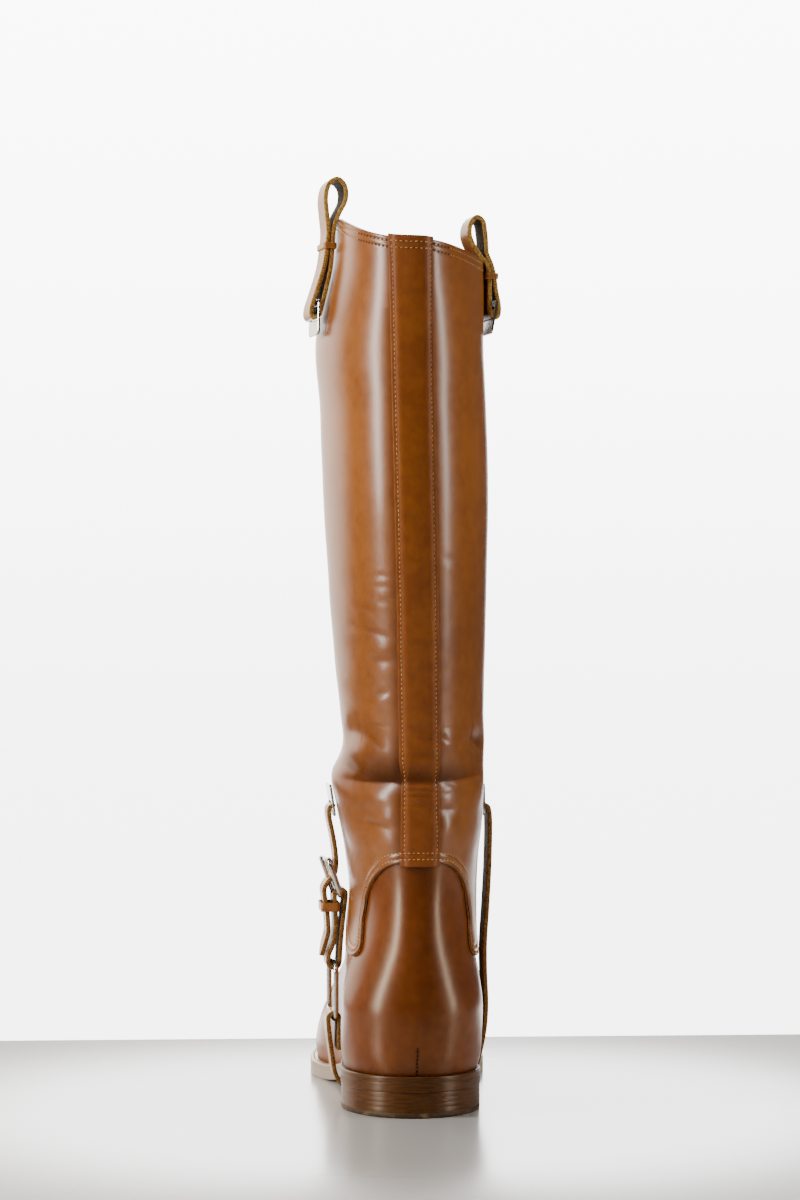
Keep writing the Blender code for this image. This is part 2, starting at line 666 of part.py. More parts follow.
def frame_between(low, high, y):
    """Places an outline in a plate's own plane: along the boot, and from its low to its high point."""
    up = Vector((high[0] - low[0], 0, high[1] - low[1])).normalized()
    along = Vector((0, 1, 0))
    face = along.cross(up)
    middle = Vector(((high[0] + low[0]) / 2, y, (high[1] + low[1]) / 2)) * MM
    place = Matrix((along, up, face)).transposed().to_4x4()
    place.translation = middle
    return place


def as_mesh(made):
    """Turns a curve object into a welded mesh, so that it can be cut."""
    graph = bpy.context.evaluated_depsgraph_get()
    mesh = bpy.data.meshes.new_from_object(made.evaluated_get(graph))
    mesh.name = made.name
    name = made.name
    place = made.matrix_world.copy()
    group = made.users_collection[0]
    bpy.data.objects.remove(made, do_unlink=True)
    solid = bpy.data.objects.new(name, mesh)
    group.objects.link(solid)
    solid.matrix_world = place
    work = bmesh.new()
    work.from_mesh(mesh)
    bmesh.ops.remove_doubles(work, verts=work.verts, dist=WELD)
    bmesh.ops.recalc_face_normals(work, faces=work.faces)
    work.to_mesh(mesh)
    work.free()
    return solid


def cut(made, cutter):
    notch = made.modifiers.new("cut", "BOOLEAN")
    notch.operation = "DIFFERENCE"
    notch.solver = "EXACT"
    notch.object = cutter


def loop_path(side):
    """The pull loop's middle line on one side, from the shaft's face and collar."""
    collar = collar_height(side, LOOP_Y)
    points = []
    for point in PULL_LOOP[side].path:
        z = collar + point.rise
        face = shaft_face(side, LOOP_Y, STRAP_WIDE / 2, min(z, collar))
        points.append((side * (face + point.out), z))
    return smooth_path(points, True)


def build_pull_loop(side, name, group, leather, metal):
    collar = collar_height(side, LOOP_Y)
    outlines = band(loop_path(side), True)
    flat_piece("pull_loop_" + name, outlines, STRAP_WIDE, upright(LOOP_Y), leather, group)

    fit = PULL_LOOP[side]
    z = collar + fit.keeper
    face = shaft_face(side, LOOP_Y, STRAP_WIDE / 2, z)
    pinch = [p.out for p in fit.path if p.rise == fit.keeper]
    spare = STRAP_THICK / 2 + SEAT_GAP
    inner = min(pinch) - spare
    outer = max(pinch) + spare
    middle = side * (face + (inner + outer) / 2)
    hole = (outer - inner, STRAP_WIDE + 2 * SEAT_GAP)
    walls = 2 * LOOP_KEEPER_WALL
    outlines = [
        box_outline(middle, LOOP_Y, hole[0] + walls, hole[1] + walls, SLOT_CORNER),
        box_outline(middle, LOOP_Y, hole[0], hole[1], HOLE_CORNER),
    ]
    flat_piece("loop_keeper_" + name, outlines, LOOP_KEEPER_TALL, level(z), leather, group)

    half = PLATE_WIDE / 2
    top_z = collar + fit.plate_top
    low_z = collar + fit.plate_low
    top = (side * (shaft_face(side, LOOP_Y, half, top_z) + LOOP_PLATE_TOP_OUT), top_z)
    low = (side * (shaft_face(side, LOOP_Y, half, low_z) + LOOP_PLATE_LOW_OUT), low_z)
    slot = fit.slot - (fit.plate_top + fit.plate_low) / 2
    outlines = [
        box_outline(0, 0, PLATE_WIDE, fit.plate_top - fit.plate_low, PLATE_CORNER),
        box_outline(0, slot, SLOT_WIDE, SLOT_TALL, SLOT_CORNER),
    ]
    place = frame_between(low, top, LOOP_Y)
    flat_piece("loop_plate_" + name, outlines, PLATE_THICK, place, metal, group)


def build_ankle_plate(side, name, group, metal):
    top, low = ANKLE_PLATE[side]
    slot = ANKLE_SLOT_Z - (top.z + low.z) / 2
    outlines = [
        box_outline(0, 0, PLATE_WIDE, top.z - low.z, PLATE_CORNER),
        box_outline(0, slot, SLOT_WIDE, ANKLE_SLOT_TALL, SLOT_CORNER),
    ]
    place = frame_between((side * low.out, low.z), (side * top.out, top.z), HARNESS_Y)
    flat_piece("ankle_plate_" + name, outlines, PLATE_THICK, place, metal, group)


def lateral_path(points, closed):
    return smooth_path([(LATERAL * p.out, p.z) for p in points], closed)


def build_buckle(group, cutters, leather, metal):
    across = Vector((LATERAL * (BUCKLE_TOP.out - HINGE.out), 0, BUCKLE_TOP.z - HINGE.z))
    tall = across.length
    across.normalize()
    face = Vector((LATERAL * across.z, 0, -LATERAL * across.x))
    hinge = Vector((LATERAL * HINGE.out, HARNESS_Y, HINGE.z))
    outline = box_outline(0, tall / 2, 2 * BUCKLE_HALF_WIDE, tall, BUCKLE_CORNER)
    ring = [hinge + Vector((0, y, 0)) + across * up for y, up in outline]
    wire_piece("buckle_frame", ring, BUCKLE_WIRE, True, metal, group)

    stand = face * (BUCKLE_WIRE + SEAT_GAP + PRONG_WIRE)
    root = hinge + stand
    tip = root + across * (tall + PRONG_PAST)
    wire_piece("buckle_prong", [root, tip], PRONG_WIRE, False, metal, group)
    path = [root - across * PRONG_PAST, tip]
    hole = as_mesh(wire_piece("prong_hole", path, PRONG_HOLE, False, metal, cutters))
    hole.display_type = "WIRE"
    hole.hide_render = True

    outlines = band(lateral_path(BILLET, False), False)
    place = upright(HARNESS_Y)
    billet = as_mesh(flat_piece("billet_strap", outlines, STRAP_WIDE, place, leather, group))
    cut(billet, hole)
    outlines = band(lateral_path(BUCKLE_STRAP, True), True)
    strap = as_mesh(flat_piece("buckle_strap", outlines, STRAP_WIDE, place, leather, group))
    cut(strap, hole)

    middle = LATERAL * (KEEPER_INNER + KEEPER_OUTER) / 2
    wide = KEEPER_OUTER - KEEPER_INNER
    deep = STRAP_WIDE + 2 * (SEAT_GAP + KEEPER_WALL)
    walls = 2 * KEEPER_WALL
    outlines = [
        box_outline(middle, HARNESS_Y, wide, deep, SLOT_CORNER),
        box_outline(middle, HARNESS_Y, wide - walls, deep - walls, HOLE_CORNER),
    ]
    place = level(KEEPER_LOW + KEEPER_TALL / 2)
    flat_piece("strap_keeper", outlines, KEEPER_TALL, place, leather, group)


def build_link(group, metal):
    middle = (LINK_TOP + LINK_LOW) / 2
    tall = LINK_TOP - LINK_LOW
    outline = box_outline(HARNESS_Y, middle, 2 * LINK_HALF_WIDE, tall, LINK_CORNER)
    ring = [(LATERAL * LINK_OUT, y, z) for y, z in outline]
    wire_piece("link_ring", ring, LINK_WIRE, True, metal, group)


def build_sole_strap(group, leather):
    outlines = band(smooth_path(SOLE_STRAP, False), False)
    flat_piece("sole_strap", outlines, STRAP_WIDE, upright(HARNESS_Y), leather, group)


def main():
    for old in list(bpy.data.objects):
        bpy.data.objects.remove(old, do_unlink=True)
    parts = collection("leather_boot")
    cutters = collection("cutters")
    cutters.hide_render = True
    finish = {name: material(name) for name in FINISHES}
    build_outsole(parts, finish["sole_leather"])
    build_welt(parts, finish["sole_leather"])
    build_insole(parts, finish["footbed_leather"])
    build_heel_stack(parts, finish["sole_leather"])
    build_heel_top_piece(parts, finish["heel_rubber"])
    build_upper(parts, finish["tan_leather"])
    build_shaft(parts, finish["tan_leather"])
    build_back_strap(parts, finish["back_strap_leather"])
    harness = finish["harness_leather"]
    steel = finish["bright_steel"]
    for side, name in ((LATERAL, "lateral"), (MEDIAL, "medial")):
        build_pull_loop(side, name, parts, harness, steel)
        build_ankle_plate(side, name, parts, steel)
    build_buckle(parts, cutters, harness, steel)
    build_link(parts, steel)
    build_sole_strap(parts, harness)


main()
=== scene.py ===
import math
import bmesh
import bpy
import numpy as np
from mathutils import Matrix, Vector, noise


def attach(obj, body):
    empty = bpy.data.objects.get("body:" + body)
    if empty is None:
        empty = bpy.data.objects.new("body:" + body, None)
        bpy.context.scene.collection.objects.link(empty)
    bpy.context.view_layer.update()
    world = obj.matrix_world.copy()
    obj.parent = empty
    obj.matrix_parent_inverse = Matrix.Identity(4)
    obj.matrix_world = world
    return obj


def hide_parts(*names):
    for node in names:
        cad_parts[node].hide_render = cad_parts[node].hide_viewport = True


# Left riding boot in tan leather, seen from behind. Sizes are millimetres until a mesh is made.
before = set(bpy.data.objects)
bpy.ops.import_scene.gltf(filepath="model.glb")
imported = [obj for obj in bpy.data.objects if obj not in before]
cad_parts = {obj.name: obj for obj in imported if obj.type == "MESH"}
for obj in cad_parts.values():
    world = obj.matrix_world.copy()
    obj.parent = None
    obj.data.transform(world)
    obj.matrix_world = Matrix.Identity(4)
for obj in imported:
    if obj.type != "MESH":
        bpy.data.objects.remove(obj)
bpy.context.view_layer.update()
mm = 0.001
fullTurn = 2 * math.pi
print("frame loaded,", len(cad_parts), "nodes")


# Small maths shared by all pieces

def ease(value, start, end):
    share = np.clip((value - start) / (end - start), 0.0, 1.0)
    return share * share * (3 - 2 * share)


def unit(vectors):
    return vectors / np.linalg.norm(vectors, axis=-1, keepdims=True)


def bell(distance, width):
    return np.exp(-(distance / width) ** 2)


def roughly(points, size, seed):
    # smooth noise from about -1 to 1, one value for each point
    spot = np.asarray(points, float).reshape(-1, 3) / size + seed
    values = [noise.noise(Vector(p)) for p in spot]
    return np.array(values).reshape(np.shape(points)[:-1])


def toward(first, second, share):
    return first + (second - first) * share


def hermite(before, first, second, after, share):
    # a smooth step from first to second, shaped by the values on either side
    slopeIn = (second - before) / 2
    slopeOut = (after - first) / 2
    cubic = 2 * first - 2 * second + slopeIn + slopeOut
    square = 3 * second - 3 * first - 2 * slopeIn - slopeOut
    return ((cubic * share + square) * share + slopeIn) * share + first


def catmull(points, closed, steps):
    points = np.array(points, float)
    count = len(points)
    spans = count if closed else count - 1
    share = (np.arange(steps) / steps)[:, None]
    path = []
    for span in range(spans):
        picks = [span - 1, span, span + 1, span + 2]
        picks = [p % count if closed else min(max(p, 0), count - 1) for p in picks]
        path.append(hermite(*points[picks], share))
    if not closed:
        path.append(points[-1:])
    return np.vstack(path)


def runLength(path):
    return np.concatenate([[0], np.cumsum(np.linalg.norm(np.diff(path, axis=0), axis=1))])


# The last: the sections that the solids are lofted from, with the collar's cut taken closer to the photograph

sectionColumns = "backY backZ frontY frontZ heel waist ball lean spine swing turn roll".split()
sections = {
    "feather": (-33.0, 20.0, 241.0, 17.0, 32.0, 26.5, 41.4, 0.0, 0.3, 1.0, 3.4, 0.0),
    "rand": (-35.6, 27.0, 244.0, 24.5, 33.6, 27.6, 42.4, 0.0, 0.4, 1.0, 3.8, 0.0),
    "toeWall": (-37.0, 37.0, 241.0, 36.0, 34.0, 28.2, 41.0, 0.3, 0.5, 1.0, 4.8, 0.0),
    "toeTop": (-37.2, 48.0, 228.0, 46.5, 34.0, 28.8, 37.4, 0.8, 0.7, 0.95, 5.4, 0.0),
    "vampLow": (-36.0, 60.0, 205.0, 55.5, 33.4, 29.4, 33.6, 1.4, 0.9, 0.85, 5.0, 0.0),
    "vampMid": (-33.6, 74.0, 178.0, 67.0, 32.2, 29.9, 31.2, 2.4, 1.2, 0.7, 4.0, 0.0),
    "vampHigh": (-30.6, 88.0, 150.0, 83.0, 30.4, 30.0, 30.2, 3.7, 1.6, 0.5, 2.0, 0.0),
    "instep": (-28.2, 104.0, 123.5, 104.0, 29.6, 29.6, 29.6, 4.0, 2.0, 0.3, 0.5, 0.0),
    "ankleBend": (-27.6, 121.0, 105.0, 126.0, 31.2, 31.2, 31.2, 3.0, 2.4, 0.15, 0.0, 0.0),
    "ankle": (-28.4, 140.0, 96.5, 147.0, 33.8, 33.8, 33.8, 1.5, 2.3, 0.05, 0.0, 0.0),
    "ankleFold": (-29.8, 155.0, 93.5, 162.0, 35.4, 35.4, 35.4, 0.2, 2.1, 0.0, 0.0, 0.0),
    "legHollow": (-31.6, 171.0, 92.5, 178.0, 32.6, 32.6, 32.6, 3.0, 1.7, 0.0, 0.0, 0.0),
    "legLow": (-36.0, 206.0, 93.0, 212.0, 34.4, 34.4, 34.4, 1.4, 0.9, 0.0, 0.0, 0.0),
    "legMid": (-42.0, 245.0, 95.5, 251.0, 36.4, 36.4, 36.4, 0.0, 0.0, 0.0, 0.0, 0.0),
    "calf": (-47.5, 290.0, 98.5, 297.0, 38.3, 38.3, 38.3, -1.0, -1.3, 0.0, 0.0, 0.0),
    "calfTop": (-49.5, 332.0, 100.0, 340.0, 38.6, 38.6, 38.6, -2.4, -2.4, 0.0, 0.0, 0.0),
    "loopSwell": (-48.8, 362.4, 100.0, 372.0, 38.9, 38.9, 38.9, -4.0, -2.9, 0.0, 0.0, 3.0),
    "collarLow": (-46.8, 394.0, 99.0, 405.0, 35.2, 35.2, 35.2, 0.0, -3.2, 0.0, 0.0, 7.0),
    "collar": (-45.0, 413.3, 98.0, 425.5, 34.2, 34.2, 34.2, 0.6, -3.5, 0.0, 0.0, 10.0),
}
sectionTable = np.array(list(sections.values()))
feather = dict(zip(sectionColumns, sections["feather"]))
rowOf = {name: float(place) for place, name in enumerate(sections)}
topRow = len(sections) - 1
last = dict(
    heelT=0.12, waistT=0.42, ballT=0.66, ballSkew=0.03, waistShift=-1.2, toeShift=7.0,
    footRoundBack=0.16, footRoundFront=0.66, legRound=0.5,
    seatZ=20.0, treadZ=8.0, seatEndY=32.0, treadStartY=118.0, treadEndY=166.0, toeY=241.0, toeSpring=9.0,
    turnStep=1e-4, rowStep=1e-3, collarSteps=41,
)


def sectionAt(row):
    row = np.clip(row, 0, topRow)
    start = np.minimum(row.astype(int), topRow - 1)
    picks = np.stack([np.maximum(start - 1, 0), start, start + 1, np.minimum(start + 2, topRow)])
    values = hermite(*sectionTable[picks], (row - start)[:, None])
    return dict(zip(sectionColumns, values.T))


def featherHeight(y):
    drop = ease(y, last["seatEndY"], last["treadStartY"])
    spring = np.maximum(y - last["treadEndY"], 0) / (last["toeY"] - last["treadEndY"])
    return last["seatZ"] - (last["seatZ"] - last["treadZ"]) * drop + last["toeSpring"] * spring**2


def lastPoints(angle, row):
    # angle 0 is the back seam, and it grows over the lateral side (-X) to the toe
    angle, row = np.broadcast_arrays(angle, row)
    shape = angle.shape
    angle = angle.astype(float).ravel()
    row = row.astype(float).ravel()
    cut = sectionAt(row)
    t = (1 - np.cos(angle)) / 2
    side = np.where(np.sin(angle) > 0, -1.0, 1.0)
    leg = ease(row, rowOf["toeTop"], rowOf["ankleBend"])
    roundBack = toward(last["footRoundBack"], last["legRound"], leg)
    roundFront = toward(last["footRoundFront"], last["legRound"], leg)
    back = np.clip(1 - t / roundBack, 0, 1)
    front = np.clip((t - roundFront) / (1 - roundFront), 0, 1)
    reach = side * np.sqrt((1 - back**2) * (1 - front**2))
    toWaist = ease(t, last["heelT"], last["waistT"])
    toBall = ease(t, last["waistT"], last["ballT"] + last["ballSkew"] * side)
    width = toward(cut["heel"], cut["waist"], toWaist) + (cut["ball"] - cut["waist"]) * toBall
    waistShift = cut["swing"] * last["waistShift"]
    toeShift = cut["swing"] * last["toeShift"]
    shift = waistShift * toWaist + (cut["turn"] - waistShift) * ease(t, last["waistT"], last["ballT"])
    shift = shift + (toeShift - cut["turn"]) * ease(t, last["ballT"], 1.0)
    atBack = 1 - ease(t, 0.0, last["legRound"])
    x = toward(cut["lean"], cut["spine"], atBack) + shift + reach * width
    y = toward(cut["backY"], cut["frontY"], t)
    chord = toward(feather["backZ"], feather["frontZ"], t)
    follow = 1 - ease(row, 0.0, rowOf["vampHigh"])
    z = toward(cut["backZ"], cut["frontZ"], t)
    z = z + follow * (featherHeight(y) - chord) - cut["roll"] * reach * np.abs(reach)
    return np.stack([x, y, z], axis=-1).reshape(shape + (3,))


def lastSlopes(angle, row):
    # change of place for one radian round the boot and for one row up it
    turn, climb = last["turnStep"], last["rowStep"]
    around = (lastPoints(angle + turn, row) - lastPoints(angle - turn, row)) / (2 * turn)
    high = np.minimum(row + climb, topRow)
    low = np.maximum(row - climb, 0)
    up = (lastPoints(angle, high) - lastPoints(angle, low)) / (high - low)[..., None]
    return around, up


def lastNormals(angle, row):
    angle, row = (np.array(a, float) for a in np.broadcast_arrays(angle, row))
    around, up = lastSlopes(angle, row)
    return unit(np.cross(up, around))


def rowsBelowCollar(angle, distances):
    # the rows that lie at these distances down from the collar, for each angle
    rows = np.linspace(topRow - 1, topRow, last["collarSteps"])
    grid = lastPoints(angle[None, :], rows[:, None])
    steps = np.linalg.norm(np.diff(grid, axis=0), axis=-1)
    below = np.vstack([np.zeros((1, len(angle))), np.cumsum(steps[::-1], axis=0)])
    return np.array([np.interp(distances, depth, rows[::-1]) for depth in below.T]).T


def heelHalf(row):
    # half the boot's width at the back of each row
    return sectionAt(np.ravel(row))["heel"].reshape(np.shape(row))


def shortTurn(angle):
    # the turn from the back seam, whichever way is shorter
    return np.abs((angle + math.pi) % fullTurn - math.pi)


def onLast(angle, row, height):
    height = np.broadcast_to(height, np.broadcast(angle, row).shape)
    return lastPoints(angle, row) + lastNormals(angle, row) * height[..., None]


# Mesh pieces

def spun(points, spin):
    # points turned about an upright line
    turn = math.radians(spin["turn"])
    c, s = math.cos(turn), math.sin(turn)
    level = np.array([[c, s, 0], [-s, c, 0], [0, 0, 1]])
    pivot = np.array([spin["x"], spin["y"], 0.0])
    return (points - pivot) @ level + pivot


def addPiece(name, points, faces, looks, stands=(), faceFinish=None, marks=None, sharp=40, spin=None):
    points = np.asarray(points, float).reshape(-1, 3)
    if spin:
        points = spun(points, spin)
    mesh = bpy.data.meshes.new(name)
    mesh.from_pydata((points * mm).tolist(), [], faces)
    for look in looks:
        mesh.materials.append(look)
    if faceFinish is not None:
        mesh.polygons.foreach_set("material_index", np.asarray(faceFinish, np.int32))
    for mark, values in (marks or {}).items():
        layer = mesh.attributes.new(mark, "FLOAT", "POINT")
        layer.data.foreach_set("value", np.asarray(values, np.float32).ravel())
    work = bmesh.new()
    work.from_mesh(mesh)
    bmesh.ops.recalc_face_normals(work, faces=work.faces)
    work.to_mesh(mesh)
    work.free()
    mesh.update()
    mesh.shade_smooth()
    mesh.set_sharp_from_angle(angle=math.radians(sharp))
    piece = bpy.data.objects.new(name, mesh)
    bpy.context.scene.collection.objects.link(piece)
    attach(piece, "root")
    if stands:
        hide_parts(*stands)
    return piece


def gridFaces(up, across, closed, start=0, flip=False):
    # quads of a grid of points stored ring by ring
    place = np.arange(across if closed else across - 1)
    beside = (place + 1) % across
    low = start + np.arange(up - 1)[:, None] * across
    high = low + across
    quads = np.stack([low + place, high + place, high + beside, low + beside], -1).reshape(-1, 4)
    return (quads[:, ::-1] if flip else quads).tolist()


def rimFaces(outer, inner, closed):
    # a strip between two runs of point numbers
    ahead = np.roll(outer, -1), np.roll(inner, -1)
    strip = np.stack([outer, ahead[0], ahead[1], inner], -1)
    return (strip if closed else strip[:-1]).tolist()


def tubeFaces(up, across):
    # a grid that closes both round and along
    number = np.arange(up * across).reshape(up, across)
    return gridFaces(up, across, True) + rimFaces(number[0], number[-1], True)


def capFaces(up, across):
    # the two ends of an open tube
    return [list(range(across)), list(range((up - 1) * across, up * across))[::-1]]


def wallMesh(name, points, closed, looks, stands=(), marks=None):
    # a leather panel from two grids of points, its face and its back
    up, across = points[0].shape[:2]
    count = up * across
    outerFaces = gridFaces(up, across, closed)
    innerFaces = gridFaces(up, across, closed, count, True)
    number = np.arange(count).reshape(up, across)
    rims = rimFaces(number[0], number[0] + count, closed)
    rims += rimFaces(number[-1][::-1], number[-1][::-1] + count, closed)
    if not closed:
        rims += rimFaces(number[::-1, 0], number[::-1, 0] + count, False)
        rims += rimFaces(number[:, -1], number[:, -1] + count, False)
    faceFinish = [0] * len(outerFaces) + [1] * len(innerFaces) + [2] * len(rims)
    both = {mark: np.concatenate([v.ravel(), v.ravel()]) for mark, v in (marks or {}).items()}
    return addPiece(name, np.concatenate([p.reshape(-1, 3) for p in points]),
                    outerFaces + innerFaces + rims, looks, stands, faceFinish, both)


def wallPanel(name, angle, row, face, back, closed, looks, stands=(), marks=None):
    # a panel over the last: face and back are its two heights over the last
    normals = lastNormals(angle, row)
    base = lastPoints(angle, row)
    points = [base + normals * face[..., None], base + normals * back[..., None]]
    return wallMesh(name, points, closed, looks, stands, marks)


def edgeDrop(distance, radius):
    # how far a rounded cut edge falls, by the distance in from the edge
    short = np.clip(radius - distance, 0, radius)
    return radius - np.sqrt(radius**2 - short**2)


# Finishes: a wrapped socket for the shader maths, then one function for each kind of surface

class Wire:
    def __init__(self, tree, socket):
        self.tree = tree
        self.socket = socket

    def node(self, kind, settings, links, out=0):
        made = self.tree.nodes.new("ShaderNode" + kind)
        for name, value in settings.items():
            setattr(made, name, value)
        for place, value in links.items():
            if isinstance(value, Wire):
                self.tree.links.new(value.socket, made.inputs[place])
            else:
                made.inputs[place].default_value = value
        return Wire(self.tree, made.outputs[out])

    def maths(self, operation, first, second):
        return self.node("Math", {"operation": operation}, {0: first, 1: second})

    def __add__(self, other):
        return self.maths("ADD", self, other)

    def __mul__(self, other):
        return self.maths("MULTIPLY", self, other)

    def __sub__(self, other):
        return self.maths("SUBTRACT", self, other)

    def __rsub__(self, other):
        return self.maths("SUBTRACT", other, self)

    __radd__ = __add__
    __rmul__ = __mul__

    def mottle(self, size, detail=3.0, harsh=0.5):
        # soft noise with spots of about this size in millimetres
        links = {"Vector": self, "Scale": 1 / (size * mm), "Detail": detail, "Roughness": harsh}
        return self.node("TexNoise", {}, links)

    def cells(self, size):
        return self.node("TexVoronoi", {}, {"Vector": self, "Scale": 1 / (size * mm)})

    def stretched(self, x, y, z):
        return self.node("VectorMath", {"operation": "MULTIPLY"}, {0: self, 1: (x, y, z)})

    def part(self, axis):
        return self.node("SeparateXYZ", {}, {0: self}, out="XYZ".index(axis))

    def mark(self, name):
        return self.node("Attribute", {"attribute_name": name}, {}, out=2)

    def between(self, low, high):
        return self.node("MapRange", {"interpolation_type": "SMOOTHSTEP"}, {0: self, 1: low, 2: high})

    def blend(self, first, second):
        # this value mixes two colours
        ends = [value if isinstance(value, Wire) else (*value, 1) for value in (first, second)]
        return self.node("Mix", {"data_type": "RGBA"}, {0: self, 6: ends[0], 7: ends[1]}, out=2)

    def bump(self, depth, under=None):
        # a bump whose full height is this many millimetres
        links = {"Height": self, "Strength": 1.0, "Distance": depth * mm}
        if under is not None:
            links["Normal"] = under
        return self.node("Bump", {}, links)

    def feeds(self, shader, socket):
        self.tree.links.new(self.socket, shader.inputs[socket])


def startFinish(name, fixed):
    finish = bpy.data.materials.new(name)
    finish.use_nodes = True
    tree = finish.node_tree
    shader = tree.nodes["Principled BSDF"]
    for socket, value in fixed.items():
        shader.inputs[socket].default_value = value
    place = Wire(tree, tree.nodes.new("ShaderNodeTexCoord").outputs["Object"])
    return finish, shader, place


def leatherFinish(name, look):
    finish, shader, place = startFinish(name, {
        "Coat Weight": look["coat"], "Coat Roughness": look["coatRoughness"],
        "Specular IOR Level": look["specular"], "Specular Tint": (*look["glossTint"], 1)})
    broad = place.mottle(look["patchSize"], 4.0)
    cloud = place.mottle(look["cloudSize"], 2.0)
    shade = place.mark("shade")
    tone = (broad * 0.65 + cloud * 0.35).between(*look["toneReach"])
    colour = tone.blend(look["deep"], look["light"])
    # painted shade: the leather is darkened towards the bottom, where less light falls
    low = 1 - place.part("Z").between(*look["paintedLowShadeReach"])
    colour = (low * look["paintedLowShade"]).blend(colour, look["dark"])
    colour = (shade * look["shadeDepth"]).blend(colour, look["dark"])
    colour.feeds(shader, "Base Color")
    (look["roughness"] + (cloud - 0.5) * look["smudge"]).feeds(shader, "Roughness")
    grain = place.cells(look["grainSize"])
    creep = place.mottle(look["creepSize"], 1.0)
    creep.bump(look["creep"], grain.bump(look["grain"])).feeds(shader, "Normal")
    # down in a crease the leather has no gloss
    dull = {"Base Color": colour, "Roughness": 0.9, "Specular IOR Level": 0.0}
    dry = place.node("BsdfPrincipled", {}, dull)
    polished = Wire(place.tree, shader.outputs[0])
    mixed = place.node("MixShader", {}, {0: shade * look["matte"], 1: polished, 2: dry})
    mixed.feeds(place.tree.nodes["Material Output"], "Surface")
    return finish


tanLook = dict(
    deep=(0.215, 0.060, 0.0045), light=(0.285, 0.087, 0.008), dark=(0.045, 0.011, 0.0012),
    shadeDepth=0.95, matte=0.85, paintedLowShade=0.0, paintedLowShadeReach=(0.22, 0.33), patchSize=55.0, cloudSize=6.0,
    toneReach=(0.36, 0.64), roughness=0.30, smudge=0.04, coat=0.06, coatRoughness=0.2, specular=0.56,
    glossTint=(1.0, 1.0, 1.0), grainSize=1.6, grain=0.006, creepSize=2.6, creep=0.004,
)
finishes = {
    # the shaft and vamp leathers take painted shade that darkens them towards the bottom
    "tan": leatherFinish("tan_polished_leather", dict(tanLook, paintedLowShade=0.2)),
    "vamp": leatherFinish("vamp_polished_leather", dict(
        tanLook, paintedLowShade=0.2, roughness=0.34, coat=0.0, specular=0.26, glossTint=(1.0, 0.85, 0.68))),
    "counter": leatherFinish("counter_polished_leather", dict(
        tanLook, deep=(0.110, 0.026, 0.003), light=(0.155, 0.039, 0.005), coat=0.03, specular=0.44,
        glossTint=(1.0, 0.82, 0.6), patchSize=42.0, grain=0.004)),
    "strap": leatherFinish("back_strap_leather", dict(
        tanLook, deep=(0.19, 0.047, 0.003), light=(0.25, 0.069, 0.0045), roughness=0.44, coat=0.0,
        specular=0.3, patchSize=48.0)),
    "harness": leatherFinish("harness_leather", dict(
        tanLook, deep=(0.28, 0.095, 0.014), light=(0.40, 0.145, 0.024), roughness=0.40, coat=0.15,
        patchSize=18.0)),
    "lining": leatherFinish("lining_leather", dict(
        tanLook, deep=(0.46, 0.27, 0.13), light=(0.58, 0.37, 0.19), dark=(0.16, 0.08, 0.03),
        roughness=0.62, coat=0.0, patchSize=30.0)),
}


def rawEdgeFinish(name, look):
    # cut leather edge: loose golden fibres with dark pits
    finish, shader, place = startFinish(name, {"Roughness": look["roughness"], "Specular IOR Level": 0.25})
    fibre = place.mottle(0.55, 4.0, 0.7)
    pits = place.cells(0.8)
    colour = fibre.between(0.3, 0.7).blend(look["deep"], look["light"])
    colour = pits.between(0.25, 0.75).blend(colour, look["bright"])
    colour.feeds(shader, "Base Color")
    (fibre * 0.7 + pits * 0.3).bump(look["fuzz"]).feeds(shader, "Normal")
    return finish


finishes["rawEdge"] = rawEdgeFinish("raw_strap_edge", dict(
    deep=(0.16, 0.06, 0.008), light=(0.40, 0.20, 0.035), bright=(0.52, 0.31, 0.08), roughness=0.85,
    fuzz=0.35))
finishes["darkEdge"] = rawEdgeFinish("waxed_strap_edge", dict(
    deep=(0.07, 0.024, 0.004), light=(0.20, 0.080, 0.015), bright=(0.29, 0.14, 0.03), roughness=0.75,
    fuzz=0.2))
finishes["fleshSide"] = rawEdgeFinish("strap_flesh_side", dict(
    deep=(0.07, 0.058, 0.047), light=(0.15, 0.13, 0.105), bright=(0.21, 0.19, 0.165), roughness=0.9,
    fuzz=0.2))
finishes["cutEdge"] = rawEdgeFinish("folded_panel_edge", dict(
    deep=(0.15, 0.045, 0.008), light=(0.30, 0.10, 0.015), bright=(0.42, 0.16, 0.03), roughness=0.6,
    fuzz=0.08))


def threadFinish(name, light, deep):
    finish, shader, place = startFinish(name, {"Roughness": 0.6, "Specular IOR Level": 0.3})
    twist = place.mottle(0.35, 2.0)
    worn = place.mottle(14.0, 2.0)
    colour = (twist * 0.5 + worn * 0.5).between(0.3, 0.7).blend(deep, light)
    colour.feeds(shader, "Base Color")
    twist.bump(0.06).feeds(shader, "Normal")
    return finish


finishes["thread"] = threadFinish("tan_thread", (0.66, 0.40, 0.15), (0.42, 0.20, 0.05))
finishes["dimThread"] = threadFinish("dark_thread", (0.26, 0.08, 0.014), (0.16, 0.045, 0.008))
# needle holes are dark discs: painted shade standing in for the holes
finishes["needleHole"] = threadFinish("needle_hole", (0.035, 0.012, 0.004), (0.012, 0.004, 0.002))


